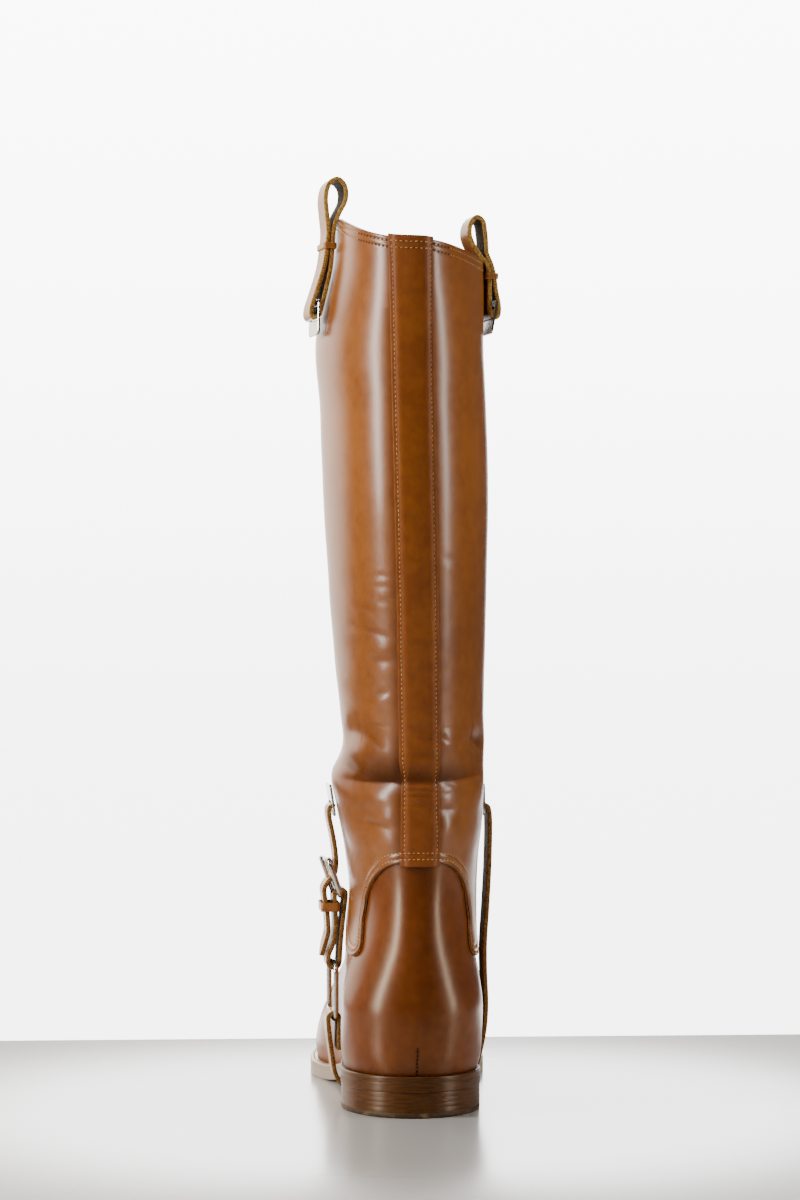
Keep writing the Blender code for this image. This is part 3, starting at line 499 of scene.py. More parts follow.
def soleFinish(name, look):
    # stained and waxed sole edge, with the layers of the leather showing as fine level lines
    finish, shader, place = startFinish(name, {
        "Coat Weight": look["coat"], "Coat Roughness": 0.2, "Specular IOR Level": 0.3,
        "Specular Tint": (*look["glossTint"], 1)})
    layers = place.stretched(0.05, 0.05, 1.0).mottle(0.55, 3.0, 0.6)
    worn = place.mottle(9.0, 5.0, 0.65)
    fleck = place.mottle(0.6, 3.0)
    forward = place.part("Y").between(0.03, 0.09) * look["fadeForward"]
    colour = layers.between(0.35, 0.65).blend(look["deep"], look["light"])
    colour = (worn.between(0.52, 0.75) * look["scuff"]).blend(colour, look["bare"])
    colour = forward.blend(colour, look["forefoot"])
    colour = (fleck.between(0.5, 0.8) * 0.25).blend(colour, look["deep"])
    colour.feeds(shader, "Base Color")
    (look["roughness"] + (worn - 0.5) * 0.12 + (fleck - 0.5) * 0.03).feeds(shader, "Roughness")
    (layers * 0.6 + fleck * 0.4).bump(look["relief"]).feeds(shader, "Normal")
    return finish


heelLook = dict(
    deep=(0.044, 0.013, 0.0012), light=(0.084, 0.027, 0.003), glossTint=(1.0, 0.85, 0.65),
    bare=(0.13, 0.058, 0.014), forefoot=(0.36, 0.29, 0.21),
    fadeForward=0.85, scuff=0.22, roughness=0.36, coat=0.08, relief=0.003,
)
finishes["soleEdge"] = soleFinish("stained_sole_edge", heelLook)
finishes["heelEdge"] = soleFinish("stained_heel_edge", dict(heelLook, fadeForward=0.0))
finishes["soleLeather"] = soleFinish("worn_sole_leather", dict(
    heelLook, deep=(0.16, 0.09, 0.045), light=(0.26, 0.16, 0.085), bare=(0.34, 0.24, 0.15),
    forefoot=(0.22, 0.13, 0.07), scuff=0.8, roughness=0.6, coat=0.0))
finishes["heelRubber"] = soleFinish("heel_rubber", dict(
    heelLook, deep=(0.030, 0.015, 0.006), light=(0.06, 0.032, 0.013), bare=(0.26, 0.17, 0.09),
    fadeForward=0.0, scuff=0.55, roughness=0.55, coat=0.0))


def metalFinish(name):
    finish, shader, place = startFinish(name, {"Metallic": 1.0})
    haze = place.mottle(5.0, 4.0, 0.6)
    scratches = place.stretched(1.0, 1.0, 0.08).mottle(0.25, 2.0)
    haze.between(0.3, 0.7).blend((0.50, 0.49, 0.46), (0.64, 0.63, 0.60)).feeds(shader, "Base Color")
    (0.10 + haze * 0.12 + scratches * 0.06).feeds(shader, "Roughness")
    scratches.bump(0.004).feeds(shader, "Normal")
    return finish


def panelLooks(face):
    # the finishes of a panel's face, back and cut edge
    return [finishes[face], finishes["lining"], finishes["cutEdge"]]


finishes["steel"] = metalFinish("bright_plated_steel")
print("finishes made:", len(finishes))


# Shaft: its lower edge arches over the counter, with a tab each side, and a strap covers its back seam

backStrap = dict(
    wall=1.3, gap=0.15, topHalf=9.4, lowHalf=8.2, drop=1.5, rise=0.9, stitchIn=1.7, groove=0.2,
    grooveWide=0.5, edgeRound=0.55, rings=300, columns=27, swell=0.25, follow=0.6, deepest=-2.0,
    edgeColumn=0.97, perTurn=37.0, fineRings=(0.0008, 0.002, 0.0035),
)

shaftCut = dict(
    backArchRow=7.92, tabRow=5.05, proud=1.6, lapWall=1.25, edgeRound=0.7, cornerSmooth=1.6,
    leanSmooth=9.0, seamSteps=40, columns=288, rings=262, bandReach=8.5, foldReach=7.0, edgeCalm=0.35,
    deepest=-4.4, liningGap=0.1, liningWall=0.9, liningSkip=(4, 3), strapShade=(3.4, 1.2), calfZ=380.0,
)
# The shaft's lower edge on one side, from the back to the shin: degrees round the boot and row on the last
seamPoints = [
    (0, 7.92), (8, 7.92), (16.3, 7.90), (25.6, 7.83), (35.6, 7.61), (44.4, 7.25), (49.3, 6.80),
    (49.3, 6.36), (46.4, 5.92), (43.3, 5.58), (41.9, 5.33), (42.8, 5.13), (45.8, 5.03), (51, 5.04),
    (62, 5.24), (82, 5.80), (106, 6.65), (131, 7.50), (156, 8.20), (180, 8.45),
]
# stands for a distance to an edge that is nowhere near
far = 99.0
seamStitches = dict(rows=(2.1, 5.0), groove=0.22, grooveWide=0.55, puff=0.22)
collarStitches = dict(rows=(2.3, 5.4), groove=0.22, grooveWide=0.55, puff=0.25)


def smoothRound(values, reach):
    # a closed run of values, averaged with its neighbours over this many places
    side = int(3 * reach)
    weights = np.exp(-0.5 * (np.arange(-side, side + 1) / reach) ** 2)
    weights /= weights.sum()
    wrapped = np.concatenate([values[-side:], values, values[:side]])
    return np.apply_along_axis(lambda line: np.convolve(line, weights, "valid"), 0, wrapped)


def seamEdge(count):
    # the shaft's lower edge as angles and rows, evenly spaced, and the way from it into the panel
    half = np.array(seamPoints) * [math.pi / 180, 1]
    other = (half * [-1, 1])[-2:0:-1] + [fullTurn, 0]
    wrapped = np.vstack([other[-2:] - [fullTurn, 0], half, other, half[:2] + [fullTurn, 0]])
    steps = shaftCut["seamSteps"]
    loop = catmull(wrapped, False, steps)[2 * steps:-steps]
    length = runLength(lastPoints(loop[:, 0], loop[:, 1]))
    even = np.arange(count) * length[-1] / count
    angle = np.interp(even, length, loop[:, 0])
    row = np.interp(even, length, loop[:, 1])
    spacing = length[-1] / count
    swing = np.column_stack([np.cos(angle), np.sin(angle), row])
    swing = smoothRound(swing, shaftCut["cornerSmooth"] / spacing)
    angle = np.unwrap(np.arctan2(swing[:, 1], swing[:, 0]))
    row = swing[:, 2]
    points = lastPoints(angle, row)
    along = unit(np.roll(points, -1, axis=0) - np.roll(points, 1, axis=0))
    inward = unit(smoothRound(np.cross(along, lastNormals(angle, row)), shaftCut["leanSmooth"] / spacing))
    around, up = lastSlopes(angle, row)
    # the inward step written as a turn and a climb on the last
    gram = np.stack([(around * around).sum(1), (around * up).sum(1), (up * up).sum(1)])
    side = np.stack([(around * inward).sum(1), (up * inward).sum(1)])
    size = gram[0] * gram[2] - gram[1] ** 2
    turn = (side[0] * gram[2] - side[1] * gram[1]) / size
    climb = (side[1] * gram[0] - side[0] * gram[1]) / size
    return angle, row, turn, climb


def strapHalf(row):
    # half the back strap's width as an angle on the last
    low = shaftCut["backArchRow"]
    share = np.clip((row - low) / (topRow - low), 0, 1)
    return np.arcsin(toward(backStrap["lowHalf"], backStrap["topHalf"], share) / heelHalf(row))


def stitchRelief(distance, stitching):
    # leather drawn in along the stitch rows and swelling between them
    first, second = stitching["rows"]
    groove = sum(bell(distance - d, stitching["grooveWide"]) for d in stitching["rows"])
    puff = bell(distance - (first + second) / 2, (second - first) / 3)
    puff = puff + 0.6 * bell(distance - first / 2, first / 3)
    return stitching["puff"] * puff - stitching["groove"] * groove


# Creases as seen from behind, each with its two ends as (across, up), its half widths above and below the
# line, and, where it comes to a sharp line, how keen it is and how far the dimness spreads above it
creaseColumns = "start end depth above below bow lip keen dim".split()
shaftCreases = [
    ((-41, 159.0), (9, 157.4), 3.8, 6.0, 10.0, -0.4, 0.0, 0.5, 12.0),
    ((-42, 178), (-25, 161.5), 1.7, 5.0, 4.0, -1.5, 0.2),
    ((-36, 183), (-12, 175), 0.7, 5.0, 4.0, 2.0, 0.2),
    ((-4, 157.4), (38, 162), 2.4, 5.0, 8.0, -0.8, 0.0, 0.6, 7.0),
    ((10, 158.4), (22, 155.4), 0.2, 1.0, 0.9, 0.3, 0.1),
    ((9, 154.0), (20, 156.8), 0.2, 1.0, 0.9, 0.2, 0.1),
    ((11, 152.0), (18, 153.2), 0.12, 1.0, 0.9, -0.2, 0.06),
    ((9, 181.8), (20, 184.6), 0.22, 0.9, 0.8, 0.4, 0.12),
    ((10, 181.2), (17, 176.0), 0.22, 0.9, 1.0, -0.4, 0.12),
    ((23, 181), (37, 169), 1.6, 5.0, 5.0, 1.0, 0.2),
    ((-22, 186.0), (-11, 184.2), 0.25, 0.9, 1.0, 0.5, 0.15),
    ((-20, 181.0), (-13, 173.5), 0.25, 1.0, 1.4, -0.7, 0.15),
    ((-25, 255.8), (-9, 254.8), 0.24, 1.0, 1.4, 0.6, 0.12),
    ((-21, 252.2), (-9, 250.6), 0.2, 1.0, 1.4, -0.5, 0.1),
    ((-19, 243.5), (-11, 242.5), 0.15, 1.4, 1.4, 0.5, 0.06),
    ((-27, 243), (-17, 237), 0.35, 1.6, 1.6, 0.6, 0.15),
    ((-30, 233.5), (-9, 225.0), 0.36, 1.0, 1.8, 0.8, 0.18),
    ((-22, 215.5), (-9, 215.0), 0.45, 2.6, 2.2, 0.8, 0.15),
    ((-20, 199), (-11, 200.5), 0.4, 1.6, 1.4, 0.5, 0.2),
    ((10, 262), (20, 264), 0.25, 1.8, 1.6, 0.5, 0.08),
    ((-26, 138.4), (-9, 135.2), 0.4, 1.6, 1.8, 1.2, 0.15),
    ((10, 145), (20, 146), 0.4, 2.0, 2.4, -0.8, 0.1),
]
# Swellings as seen from behind: place (across, up), reach across, reach up and height
shaftSwells = [
    ((-19, 169.5), 10, 6, 0.9),
    ((-17, 151.0), 10, 5, 0.9),
    ((-11, 141.5), 5, 5, 0.5),
    ((-13, 129), 7, 5, 0.6),
    ((14, 135), 5, 8, 0.6),
    ((15, 176), 4, 7, 0.5),
    ((-16, 220), 6, 4, 0.45),
    ((-16, 193.5), 7, 4, 0.35),
]
# Breaks across the front of the ankle: height, depth, width, reach each side of the shin and slope
frontBreaks = [
    (181, 0.9, 4.5, 34, 0.05),
    (163, 1.5, 4.0, 40, -0.05),
    (148, 1.3, 3.6, 36, 0.08),
    (134, 1.0, 3.4, 30, -0.04),
]
# How the folds fade round the boot, and the slack waves: height, size, seed and squash
reliefShape = dict(
    behind=(0.0, 22.0), ahead=(25.0, 70.0), slackZ=160.0, slackReach=55.0, slackLeast=0.25,
    lipBelow=(2.2, 1.6), lipAbove=2.0, dimAbove=0.95, dimBelow=0.75, dimLeast=0.15, dimDepth=0.26,
    breakDim=0.35, waves=((0.55, 24.0, 3.1, 1.5), (0.09, 9.0, 7.7, 1.4)),
)


def backCreases(points, creases):
    r = reliefShape
    x, y, z = np.moveaxis(points, -1, 0)
    behind = 1 - ease(y, *r["behind"])
    relief = np.zeros(x.shape)
    shade = np.zeros(x.shape)
    for values in creases:
        crease = dict(zip(creaseColumns, values))
        above, below = crease["above"], crease["below"]
        start, end = np.array(crease["start"], float), np.array(crease["end"], float)
        length = np.linalg.norm(end - start)
        along = (end - start) / length
        middle = (start + end) / 2
        run = ((x - middle[0]) * along[0] + (z - middle[1]) * along[1]) / (length / 2)
        fade = np.clip(1 - run**2, 0, 1) ** 1.5 * behind
        off = (z - middle[1]) * along[0] - (x - middle[0]) * along[1] - crease["bow"] * (1 - run**2)
        wide = np.where(off > 0, above, below)
        # a keen crease comes to a sharp line, the others are soft
        keen = crease.get("keen")
        trough = np.exp((keen - np.hypot(off, keen)) / wide) if keen else bell(off, wide)
        lip = bell(off + r["lipBelow"][0] * below, r["lipBelow"][1] * below)
        lip = lip + 0.5 * bell(off - r["lipAbove"] * above, above)
        relief += fade * (crease["lip"] * lip - crease["depth"] * trough)
        dim = crease.get("dim", r["dimAbove"] * above)
        spread = np.where(off > 0, dim, min(r["dimBelow"] * below, 1.0))
        shade += fade * bell(off, spread) * min(1.0, r["dimLeast"] + r["dimDepth"] * crease["depth"])
    return relief, shade


def shaftRelief(points):
    r = reliefShape
    x, y, z = np.moveaxis(points, -1, 0)
    relief, shade = backCreases(points, shaftCreases)
    behind = 1 - ease(y, *r["behind"])
    for (placeX, placeZ), across, up, height in shaftSwells:
        relief += behind * height * bell(x - placeX, across) * bell(z - placeZ, up)
    ahead = ease(y, *r["ahead"])
    for up, depth, wide, reach, slope in frontBreaks:
        off = z - up - slope * x
        fade = ahead * np.clip(1 - (x / reach) ** 2, 0, 1)
        relief += fade * depth * (0.5 * bell(off + 2 * wide, wide) - bell(off, wide))
        shade += fade * r["breakDim"] * bell(off, 0.7 * wide)
    slack = r["slackLeast"] + (1 - r["slackLeast"]) * bell(z - r["slackZ"], r["slackReach"])
    for height, size, seed, squash in r["waves"]:
        relief += height * slack * roughly(points * [1, 1, squash], size, seed)
    return relief, shade


def calmed(relief, distance):
    # folds die down towards a stitched edge
    calm = shaftCut["edgeCalm"]
    return relief * (calm + (1 - calm) * ease(distance, 0.0, shaftCut["foldReach"]))


def ringDistances(stitching, reach):
    first, second = stitching["rows"]
    wide = stitching["grooveWide"]
    marks = [0, 0.12, 0.35, 0.7, 1.2]
    for row in (first, second):
        marks += [row + share * wide for share in (-1.6, -0.8, 0, 0.8, 1.6)]
    return np.array(sorted(marks + [(first + second) / 2, reach - 1.2, reach]))


def buildShaft():
    edgeAngle, edgeRow, turn, climb = seamEdge(shaftCut["columns"])
    low = ringDistances(seamStitches, shaftCut["bandReach"])
    high = ringDistances(collarStitches, shaftCut["bandReach"])[::-1]
    bandAngle = edgeAngle + low[:, None] * turn
    bandRow = edgeRow + low[:, None] * climb
    share = (np.arange(1, shaftCut["rings"]) / shaftCut["rings"])[:, None]
    topAngle = edgeAngle[0] + np.arange(shaftCut["columns"]) * fullTurn / shaftCut["columns"]
    collarRow = rowsBelowCollar(topAngle, high)
    midAngle = bandAngle[-1] + (topAngle - bandAngle[-1]) * ease(share, 0.0, 1.0)
    midRow = bandRow[-1] + (collarRow[0] - bandRow[-1]) * share
    angle = np.vstack([bandAngle, midAngle, np.broadcast_to(topAngle, collarRow.shape)])
    row = np.vstack([bandRow, midRow, collarRow])
    # distance to each edge, ring by ring
    fromLow = np.concatenate([low, np.full(len(share) + len(high), far)])[:, None]
    fromTop = np.concatenate([np.full(len(low) + len(share), far), high])[:, None]
    points = lastPoints(angle, row)
    relief, shade = shaftRelief(points)
    nearest = np.minimum(fromLow, fromTop)
    relief = calmed(relief, nearest)
    relief = relief + stitchRelief(fromLow, seamStitches) + stitchRelief(fromTop, collarStitches)
    body = shaftCut["proud"] + np.maximum(relief, shaftCut["deepest"])
    face = body - edgeDrop(nearest, shaftCut["edgeRound"])
    fromStrap = np.maximum(shortTurn(angle) - strapHalf(row), 0) * heelHalf(row)
    shade = shade + 0.5 * bell(fromLow, 1.0) + 0.25 * bell(fromTop, 0.8)
    # a dim furrow beside the strap, wider on the lateral side below the calf
    lateral = (np.sin(angle) > 0) & (points[..., 2] < shaftCut["calfZ"])
    furrow = np.where(lateral, *shaftCut["strapShade"])
    shade = shade + 0.5 * bell(fromStrap, furrow) * (row > shaftCut["backArchRow"])
    shade = np.clip(shade, 0, 1)
    normals = lastNormals(angle, row)
    up, across = angle.shape
    faceGrid = points + normals * face[..., None]
    backGrid = points + normals * (body - shaftCut["lapWall"])[..., None]
    bands = [backGrid[:len(low)], backGrid[-len(high):]]
    starts = [up * across, (up + len(low)) * across]
    outerFaces = gridFaces(up, across, True)
    innerFaces = gridFaces(len(low), across, True, starts[0], True)
    innerFaces += gridFaces(len(high), across, True, starts[1], True)
    column = np.arange(across)
    rims = rimFaces(column, column + starts[0], True)
    rims += rimFaces(column + (up - 1) * across, column + starts[1] + (len(high) - 1) * across, True)
    faceFinish = [0] * len(outerFaces) + [1] * len(innerFaces) + [2] * len(rims)
    marks = {"shade": np.vstack([shade, shade[:len(low)], shade[-len(high):]])}
    addPiece("shaft_leather", np.vstack([faceGrid, *bands]), outerFaces + innerFaces + rims,
             panelLooks("tan"), ["shaft"], faceFinish, marks)
    # the lining hangs inside from the collar down to the lap
    skipUp, skipRound = shaftCut["liningSkip"]
    top = up - len(high)
    picks = [np.arange(len(low) - 1, top, skipUp), np.arange(top, up, skipUp), [up - 2]]
    hung = np.ix_(np.unique(np.concatenate(picks)), np.arange(0, across, skipRound))
    outside = (body - shaftCut["lapWall"] - shaftCut["liningGap"])[hung]
    wallPanel("shaft_lining", angle[hung], row[hung], outside, outside - shaftCut["liningWall"], True,
              [finishes["lining"]] * 3, ["shaft"])


# Foot: the vamp runs under the counter's front edges, and both run up under the shaft

footCut = dict(
    wall=2.2, lap=6.0, counterColumns=150, vampColumns=250, rings=96, seamPoints=720,
    seamAngle=math.radians(51), under=math.radians(7), step=1.1, stepReach=math.radians(24), edgeRound=0.7,
    counterWall=1.1, crowd=0.97, reachTurn=math.radians(2), calmReach=6.0, featherDim=2.5,
    seamDim=math.radians(1.2), ballZ=(26.0, 40.0), waves=((0.22, 22.0, 5.3), (0.04, 8.0, 2.9)),
)
counterStitches = dict(rows=(1.9, 4.0), groove=0.18, grooveWide=0.6, sunk=0.12, lowRow=0.25, topGap=0.05)
# Breaks over the ball of the foot: place along the boot, depth, width and slope
vampBreaks = [
    (150, 0.7, 4.0, 0.18),
    (162, 0.9, 4.2, 0.12),
    (173, 0.6, 3.6, 0.05),
    (132, 0.5, 5.0, 0.22),
]


def footRelief(points):
    x, y, z = np.moveaxis(points, -1, 0)
    relief = sum(height * roughly(points, size, seed) for height, size, seed in footCut["waves"])
    shade = np.zeros(x.shape)
    overBall = ease(z, *footCut["ballZ"])
    for along, depth, wide, slope in vampBreaks:
        off = y - along - slope * np.abs(x - 4)
        trough = bell(off, wide) - 0.4 * bell(off - 2 * wide, wide) - 0.4 * bell(off + 2 * wide, wide)
        relief -= overBall * depth * trough
        shade += overBall * 0.25 * bell(off, 0.7 * wide)
    return relief, shade


def footRings(angle):
    # from the feather line up to the lap under the shaft's edge
    edgeAngle, edgeRow = seamEdge(footCut["seamPoints"])[:2]
    apart = shortTurn(edgeAngle - angle[:, None])
    reach = np.where(apart < footCut["reachTurn"], edgeRow, 0).max(axis=1)
    step = np.linalg.norm(lastSlopes(angle, reach)[1], axis=1)
    share = (np.arange(footCut["rings"] + 1) / footCut["rings"])[:, None]
    return share * (reach + footCut["lap"] / step)[None, :]


def featherDim(points):
    # dimness along the line where the upper meets the welt
    return bell(points[..., 2] - featherHeight(points[..., 1]), footCut["featherDim"])


# The short slit closed up at the back of the heel
heelSlit = dict(
    columns=(-1.2, -0.7, -0.4, -0.22, -0.1, 0.0, 0.1, 0.22, 0.4, 0.7, 1.2), perTurn=34.0, half=0.28,
    depth=0.55, top=33.5, soften=0.6, stitches=7, stitchLow=21.5, stitchTop=0.8,
    stitchWay=(1.0, 0.0, 0.35), rows=np.linspace(0, 3, 60),
)


def buildCounter():
    half = footCut["seamAngle"]
    share = np.linspace(-1, 1, footCut["counterColumns"])
    # columns crowd towards the two cut edges
    crowd = math.pi / 2 * footCut["crowd"]
    angle = half * np.sin(share * crowd) / math.sin(crowd)
    angle = np.sort(np.concatenate([angle, np.array(heelSlit["columns"]) / heelSlit["perTurn"]]))
    row = footRings(angle)
    angle = np.broadcast_to(angle, row.shape)
    points = lastPoints(angle, row)
    around = np.linalg.norm(lastSlopes(np.array(angle), row)[0], axis=-1)
    fromSide = (half - np.abs(angle)) * around
    relief, shade = footRelief(points)
    beside = np.abs(angle) * heelSlit["perTurn"] / heelSlit["half"]
    slitTop = heelSlit["top"]
    cut = bell(beside, 1.0) * (1 - ease(points[..., 2], slitTop - heelSlit["soften"], slitTop))
    sewn = bell(fromSide - counterStitches["rows"][0], counterStitches["grooveWide"])
    body = relief * ease(fromSide, 0.0, footCut["calmReach"]) - counterStitches["groove"] * sewn
    body = body - heelSlit["depth"] * cut
    face = body - edgeDrop(fromSide, footCut["edgeRound"])
    shade = shade + 0.5 * featherDim(points) + 0.3 * bell(fromSide, 0.8)
    marks = {"shade": np.clip(shade + 1.5 * cut, 0, 1)}
    wallPanel("counter_leather", angle, row, face, body - footCut["counterWall"], False,
              panelLooks("counter"), ["upper"], marks)


def buildVamp():
    start = footCut["seamAngle"] - footCut["under"]
    angle = np.linspace(start, fullTurn - start, footCut["vampColumns"])
    row = footRings(angle)
    angle = np.broadcast_to(angle, row.shape)
    points = lastPoints(angle, row)
    fromSeam = np.minimum(angle, fullTurn - angle) - footCut["seamAngle"]
    relief, shade = footRelief(points)
    sunk = footCut["step"] * (1 - ease(fromSeam, 0.0, footCut["stepReach"]))
    face = relief - sunk - 0.2 * (fromSeam < 0)
    shade = shade + 0.55 * featherDim(points) + 0.5 * bell(fromSeam, footCut["seamDim"])
    marks = {"shade": np.clip(shade, 0, 1)}
    wallPanel("vamp_leather", angle, row, face, face - footCut["wall"] + sunk * 0.5, False,
              panelLooks("vamp"), ["upper"], marks)


# Lining behind the counter, so that the heel shows leather inside too
heelLining = dict(turn=math.radians(60), columns=70, skip=2, deep=-1.35, wall=0.95)


def buildHeelLining():
    h = heelLining
    angle = np.linspace(-h["turn"], h["turn"], h["columns"])
    row = footRings(angle)[::h["skip"]]
    angle = np.broadcast_to(angle, row.shape)
    face = np.full(row.shape, h["deep"])
    wallPanel("heel_lining", angle, row, face, face - h["wall"], False,
              [finishes["lining"]] * 3, ["upper"])


buildShaft()
buildCounter()
buildVamp()
print("shaft, counter and vamp made")
buildHeelLining()
print("heel lining made")


# Back strap, sewn down over the shaft's back seam

strapCreases = [
    ((-18, 159.5), (19, 159), 1.1, 5.0, 1.8, 0.0, 0.35),
    ((-9, 157.6), (11, 157.2), 0.28, 0.9, 0.7, 0.4, 0.2),
    ((-9, 154.8), (11, 155.0), 0.22, 0.8, 0.7, -0.3, 0.16),
    ((-8, 151.4), (10, 151.8), 0.2, 0.9, 0.8, 0.3, 0.14),
    ((-8, 147.5), (6, 147.0), 0.12, 1.2, 1.0, 0.2, 0.08),
    ((1, 181.8), (12, 180.8), 0.35, 0.8, 0.7, 0.3, 0.25),
    ((3, 179.0), (12, 179.6), 0.25, 0.8, 0.7, -0.2, 0.15),
    ((-9, 171), (11, 170), 0.15, 2.0, 2.0, 0.3, 0.05),
]


def beyondTop(angle, row):
    # places on the last, carried straight on above the collar
    angle, row = (np.array(a, float) for a in np.broadcast_arrays(angle, row))
    top = np.full(row.shape, float(topRow))
    over = np.maximum(row - topRow, 0)[..., None]
    inside = np.minimum(row, topRow)
    return lastPoints(angle, inside) + over * lastSlopes(angle, top)[1], lastNormals(angle, inside)


def strapFace(points, fromSide, fromEnd):
    # height of the strap's face over the last
    relief, shade = shaftRelief(points)
    wrinkle, dim = backCreases(points, strapCreases)
    groove = bell(fromSide - backStrap["stitchIn"], backStrap["grooveWide"])
    swell = bell(fromSide - backStrap["stitchIn"] - 2.2, 1.6)
    relief = np.maximum(relief * backStrap["follow"], backStrap["deepest"])
    height = shaftCut["proud"] + relief + backStrap["gap"] + backStrap["wall"]
    height = height + wrinkle + backStrap["swell"] * swell - backStrap["groove"] * groove
    height = height - 0.18 * sum(bell(fromEnd - backStrap["drop"] - d, 0.5) for d in seamStitches["rows"])
    return height, np.clip(0.5 * shade + dim + 0.3 * bell(fromSide, 0.7), 0, 1)


def buildBackStrap():
    ends = np.array([shaftCut["backArchRow"], float(topRow)])
    climb = np.linalg.norm(lastSlopes(np.zeros(2), ends)[1], axis=1)
    low, high = ends + [-backStrap["drop"], backStrap["rise"]] / climb
    share = np.linspace(0, 1, backStrap["rings"])
    fine = np.array(backStrap["fineRings"])
    share = np.sort(np.concatenate([share, fine, 1 - fine]))
    row = toward(low, high, share)
    across = np.sin(np.linspace(-1, 1, backStrap["columns"]) * math.pi / 2)
    across = np.sort(np.concatenate([across * backStrap["edgeColumn"], [-1, 1]]))
    angle = strapHalf(row)[:, None] * across
    row = np.broadcast_to(row[:, None], angle.shape)
    base, normals = beyondTop(angle, row)
    fromSide = np.sin(strapHalf(row)) * heelHalf(row) * (1 - np.abs(across))
    length = runLength(base[:, base.shape[1] // 2])[:, None]
    fromEnd = np.minimum(length, length[-1] - length)
    face, shade = strapFace(base, fromSide, length)
    back = face - backStrap["wall"]
    face = face - edgeDrop(np.minimum(fromSide, fromEnd), backStrap["edgeRound"])
    points = [base + normals * face[..., None], base + normals * back[..., None]]
    wallMesh("back_strap_leather", points, False, panelLooks("strap"), ["back_strap"],
             {"shade": shade})


buildBackStrap()
print("back strap made")


# Stitches: a short thread over the leather, and at its end a dark disc, painted shade for the needle hole

stitchShape = dict(
    sides=6, lengths=(-0.5, -0.36, 0.0, 0.36, 0.5), girths=(0.25, 0.8, 1.0, 0.8, 0.25), lift=0.12, sink=0.35,
    pitch=2.2, sway=0.05, spread=(0.92, 1.08), holeAt=0.62, holeLift=0.05, holeWide=1.1,
)


def evenRun(points, normals, pitch, closed=False):
    # evenly spaced places along a run, with the way along, the way across and the way out
    if closed:
        points = np.vstack([points, points[:1]])
        normals = np.vstack([normals, normals[:1]])
    length = runLength(points)

    def sample(values, at):
        return np.column_stack([np.interp(at, length, column) for column in values.T])

    count = int(length[-1] / pitch)
    at = (np.arange(count) + 0.5) * length[-1] / count
    out = unit(sample(normals, at))
    step = 0.3 * pitch
    along = unit(sample(points, np.minimum(at + step, length[-1])) - sample(points, np.maximum(at - step, 0)))
    return sample(points, at), along, unit(np.cross(out, along)), out


def runOnLast(angle, row, height, closed=False):
    return evenRun(onLast(angle, row, height), lastNormals(angle, row), stitchShape["pitch"], closed)


def sewRuns(name, runs, skew, seed, long=1.5, girth=0.5, look="thread"):
    shape = stitchShape
    draw = np.random.default_rng(seed)
    sides, rings = shape["sides"], len(shape["lengths"])
    turns = np.arange(sides) * fullTurn / sides
    ring = np.column_stack([np.cos(turns), np.sin(turns)]) * girth / 2
    points, faces, faceFinish = [], [], []
    start = 0
    # the thread's faces, then its needle hole, a dark disc of painted shade
    hole = [v + rings * sides for v in range(sides)][::-1]
    stitch = gridFaces(rings, sides, True) + capFaces(rings, sides) + [hole]
    for spots, along, across, out in runs:
        for place in range(len(spots)):
            lean = skew + draw.normal(0, shape["sway"])
            way = unit(along[place] + lean * across[place])
            side = unit(np.cross(out[place], way))
            stretch = long * draw.uniform(*shape["spread"])
            for share, wide in zip(shape["lengths"], shape["girths"]):
                sink = girth * shape["sink"] * (2 * abs(share)) ** 3
                centre = spots[place] + way * share * stretch + out[place] * (shape["lift"] * girth - sink)
                points.append(centre + wide * (ring[:, :1] * side + ring[:, 1:] * out[place]))
            centre = spots[place] + way * shape["holeAt"] * stretch + out[place] * shape["holeLift"]
            points.append(centre + shape["holeWide"] * (ring[:, :1] * side + ring[:, 1:] * way))
            faces += [[v + start for v in f] for f in stitch]
            faceFinish += [0] * (len(stitch) - 1) + [1]
            start += sides * (rings + 1)
    looks = [finishes[look], finishes["needleHole"]]
    return addPiece(name, np.vstack(points), faces, looks, faceFinish=faceFinish)


stitchRows = dict(seamPoints=900, collarPoints=400, strapPoints=500, counterPoints=300, strapGaps=(0.3, 0.28))
# Beside the strap the collar's thread is sunk, and only its needle holes show up to these turns
collarHoles = dict(medial=math.radians(31), lateral=math.radians(42), wide=1.0, lift=0.3, sides=8)


def pierce(name, runs, wide, lift, spin=None):
    # holes without a thread: small dark discs of painted shade
    sides = collarHoles["sides"]
    turns = np.arange(sides) * fullTurn / sides
    points = [spot + lift * up + wide / 2 * (np.cos(t) * way + np.sin(t) * side)
              for run in runs for spot, way, side, up in zip(*run) for t in turns]
    faces = np.arange(len(points)).reshape(-1, sides).tolist()
    return addPiece(name, np.array(points), faces, [finishes["needleHole"]], spin=spin)


def shaftFaceHeight(points, distance, stitching):
    relief = calmed(shaftRelief(points)[0], distance)
    return shaftCut["proud"] + np.maximum(relief, shaftCut["deepest"]) + stitchRelief(distance, stitching)


def sewnRow(angle, row, distance, stitching, fromEnd, closed=False):
    # a run of stitches along one of the shaft's edges, lifted where it crosses the back strap
    points = lastPoints(angle, row)
    height = shaftFaceHeight(points, distance, stitching)
    fold = shortTurn(angle)
    half = strapHalf(row)
    fromSide = np.maximum(half - fold, 0) * backStrap["perTurn"]
    over = strapFace(points, fromSide, np.full(len(points), fromEnd))[0]
    over = over - edgeDrop(fromSide, backStrap["edgeRound"])
    return runOnLast(angle, row, np.where(fold < half, over, height), closed)


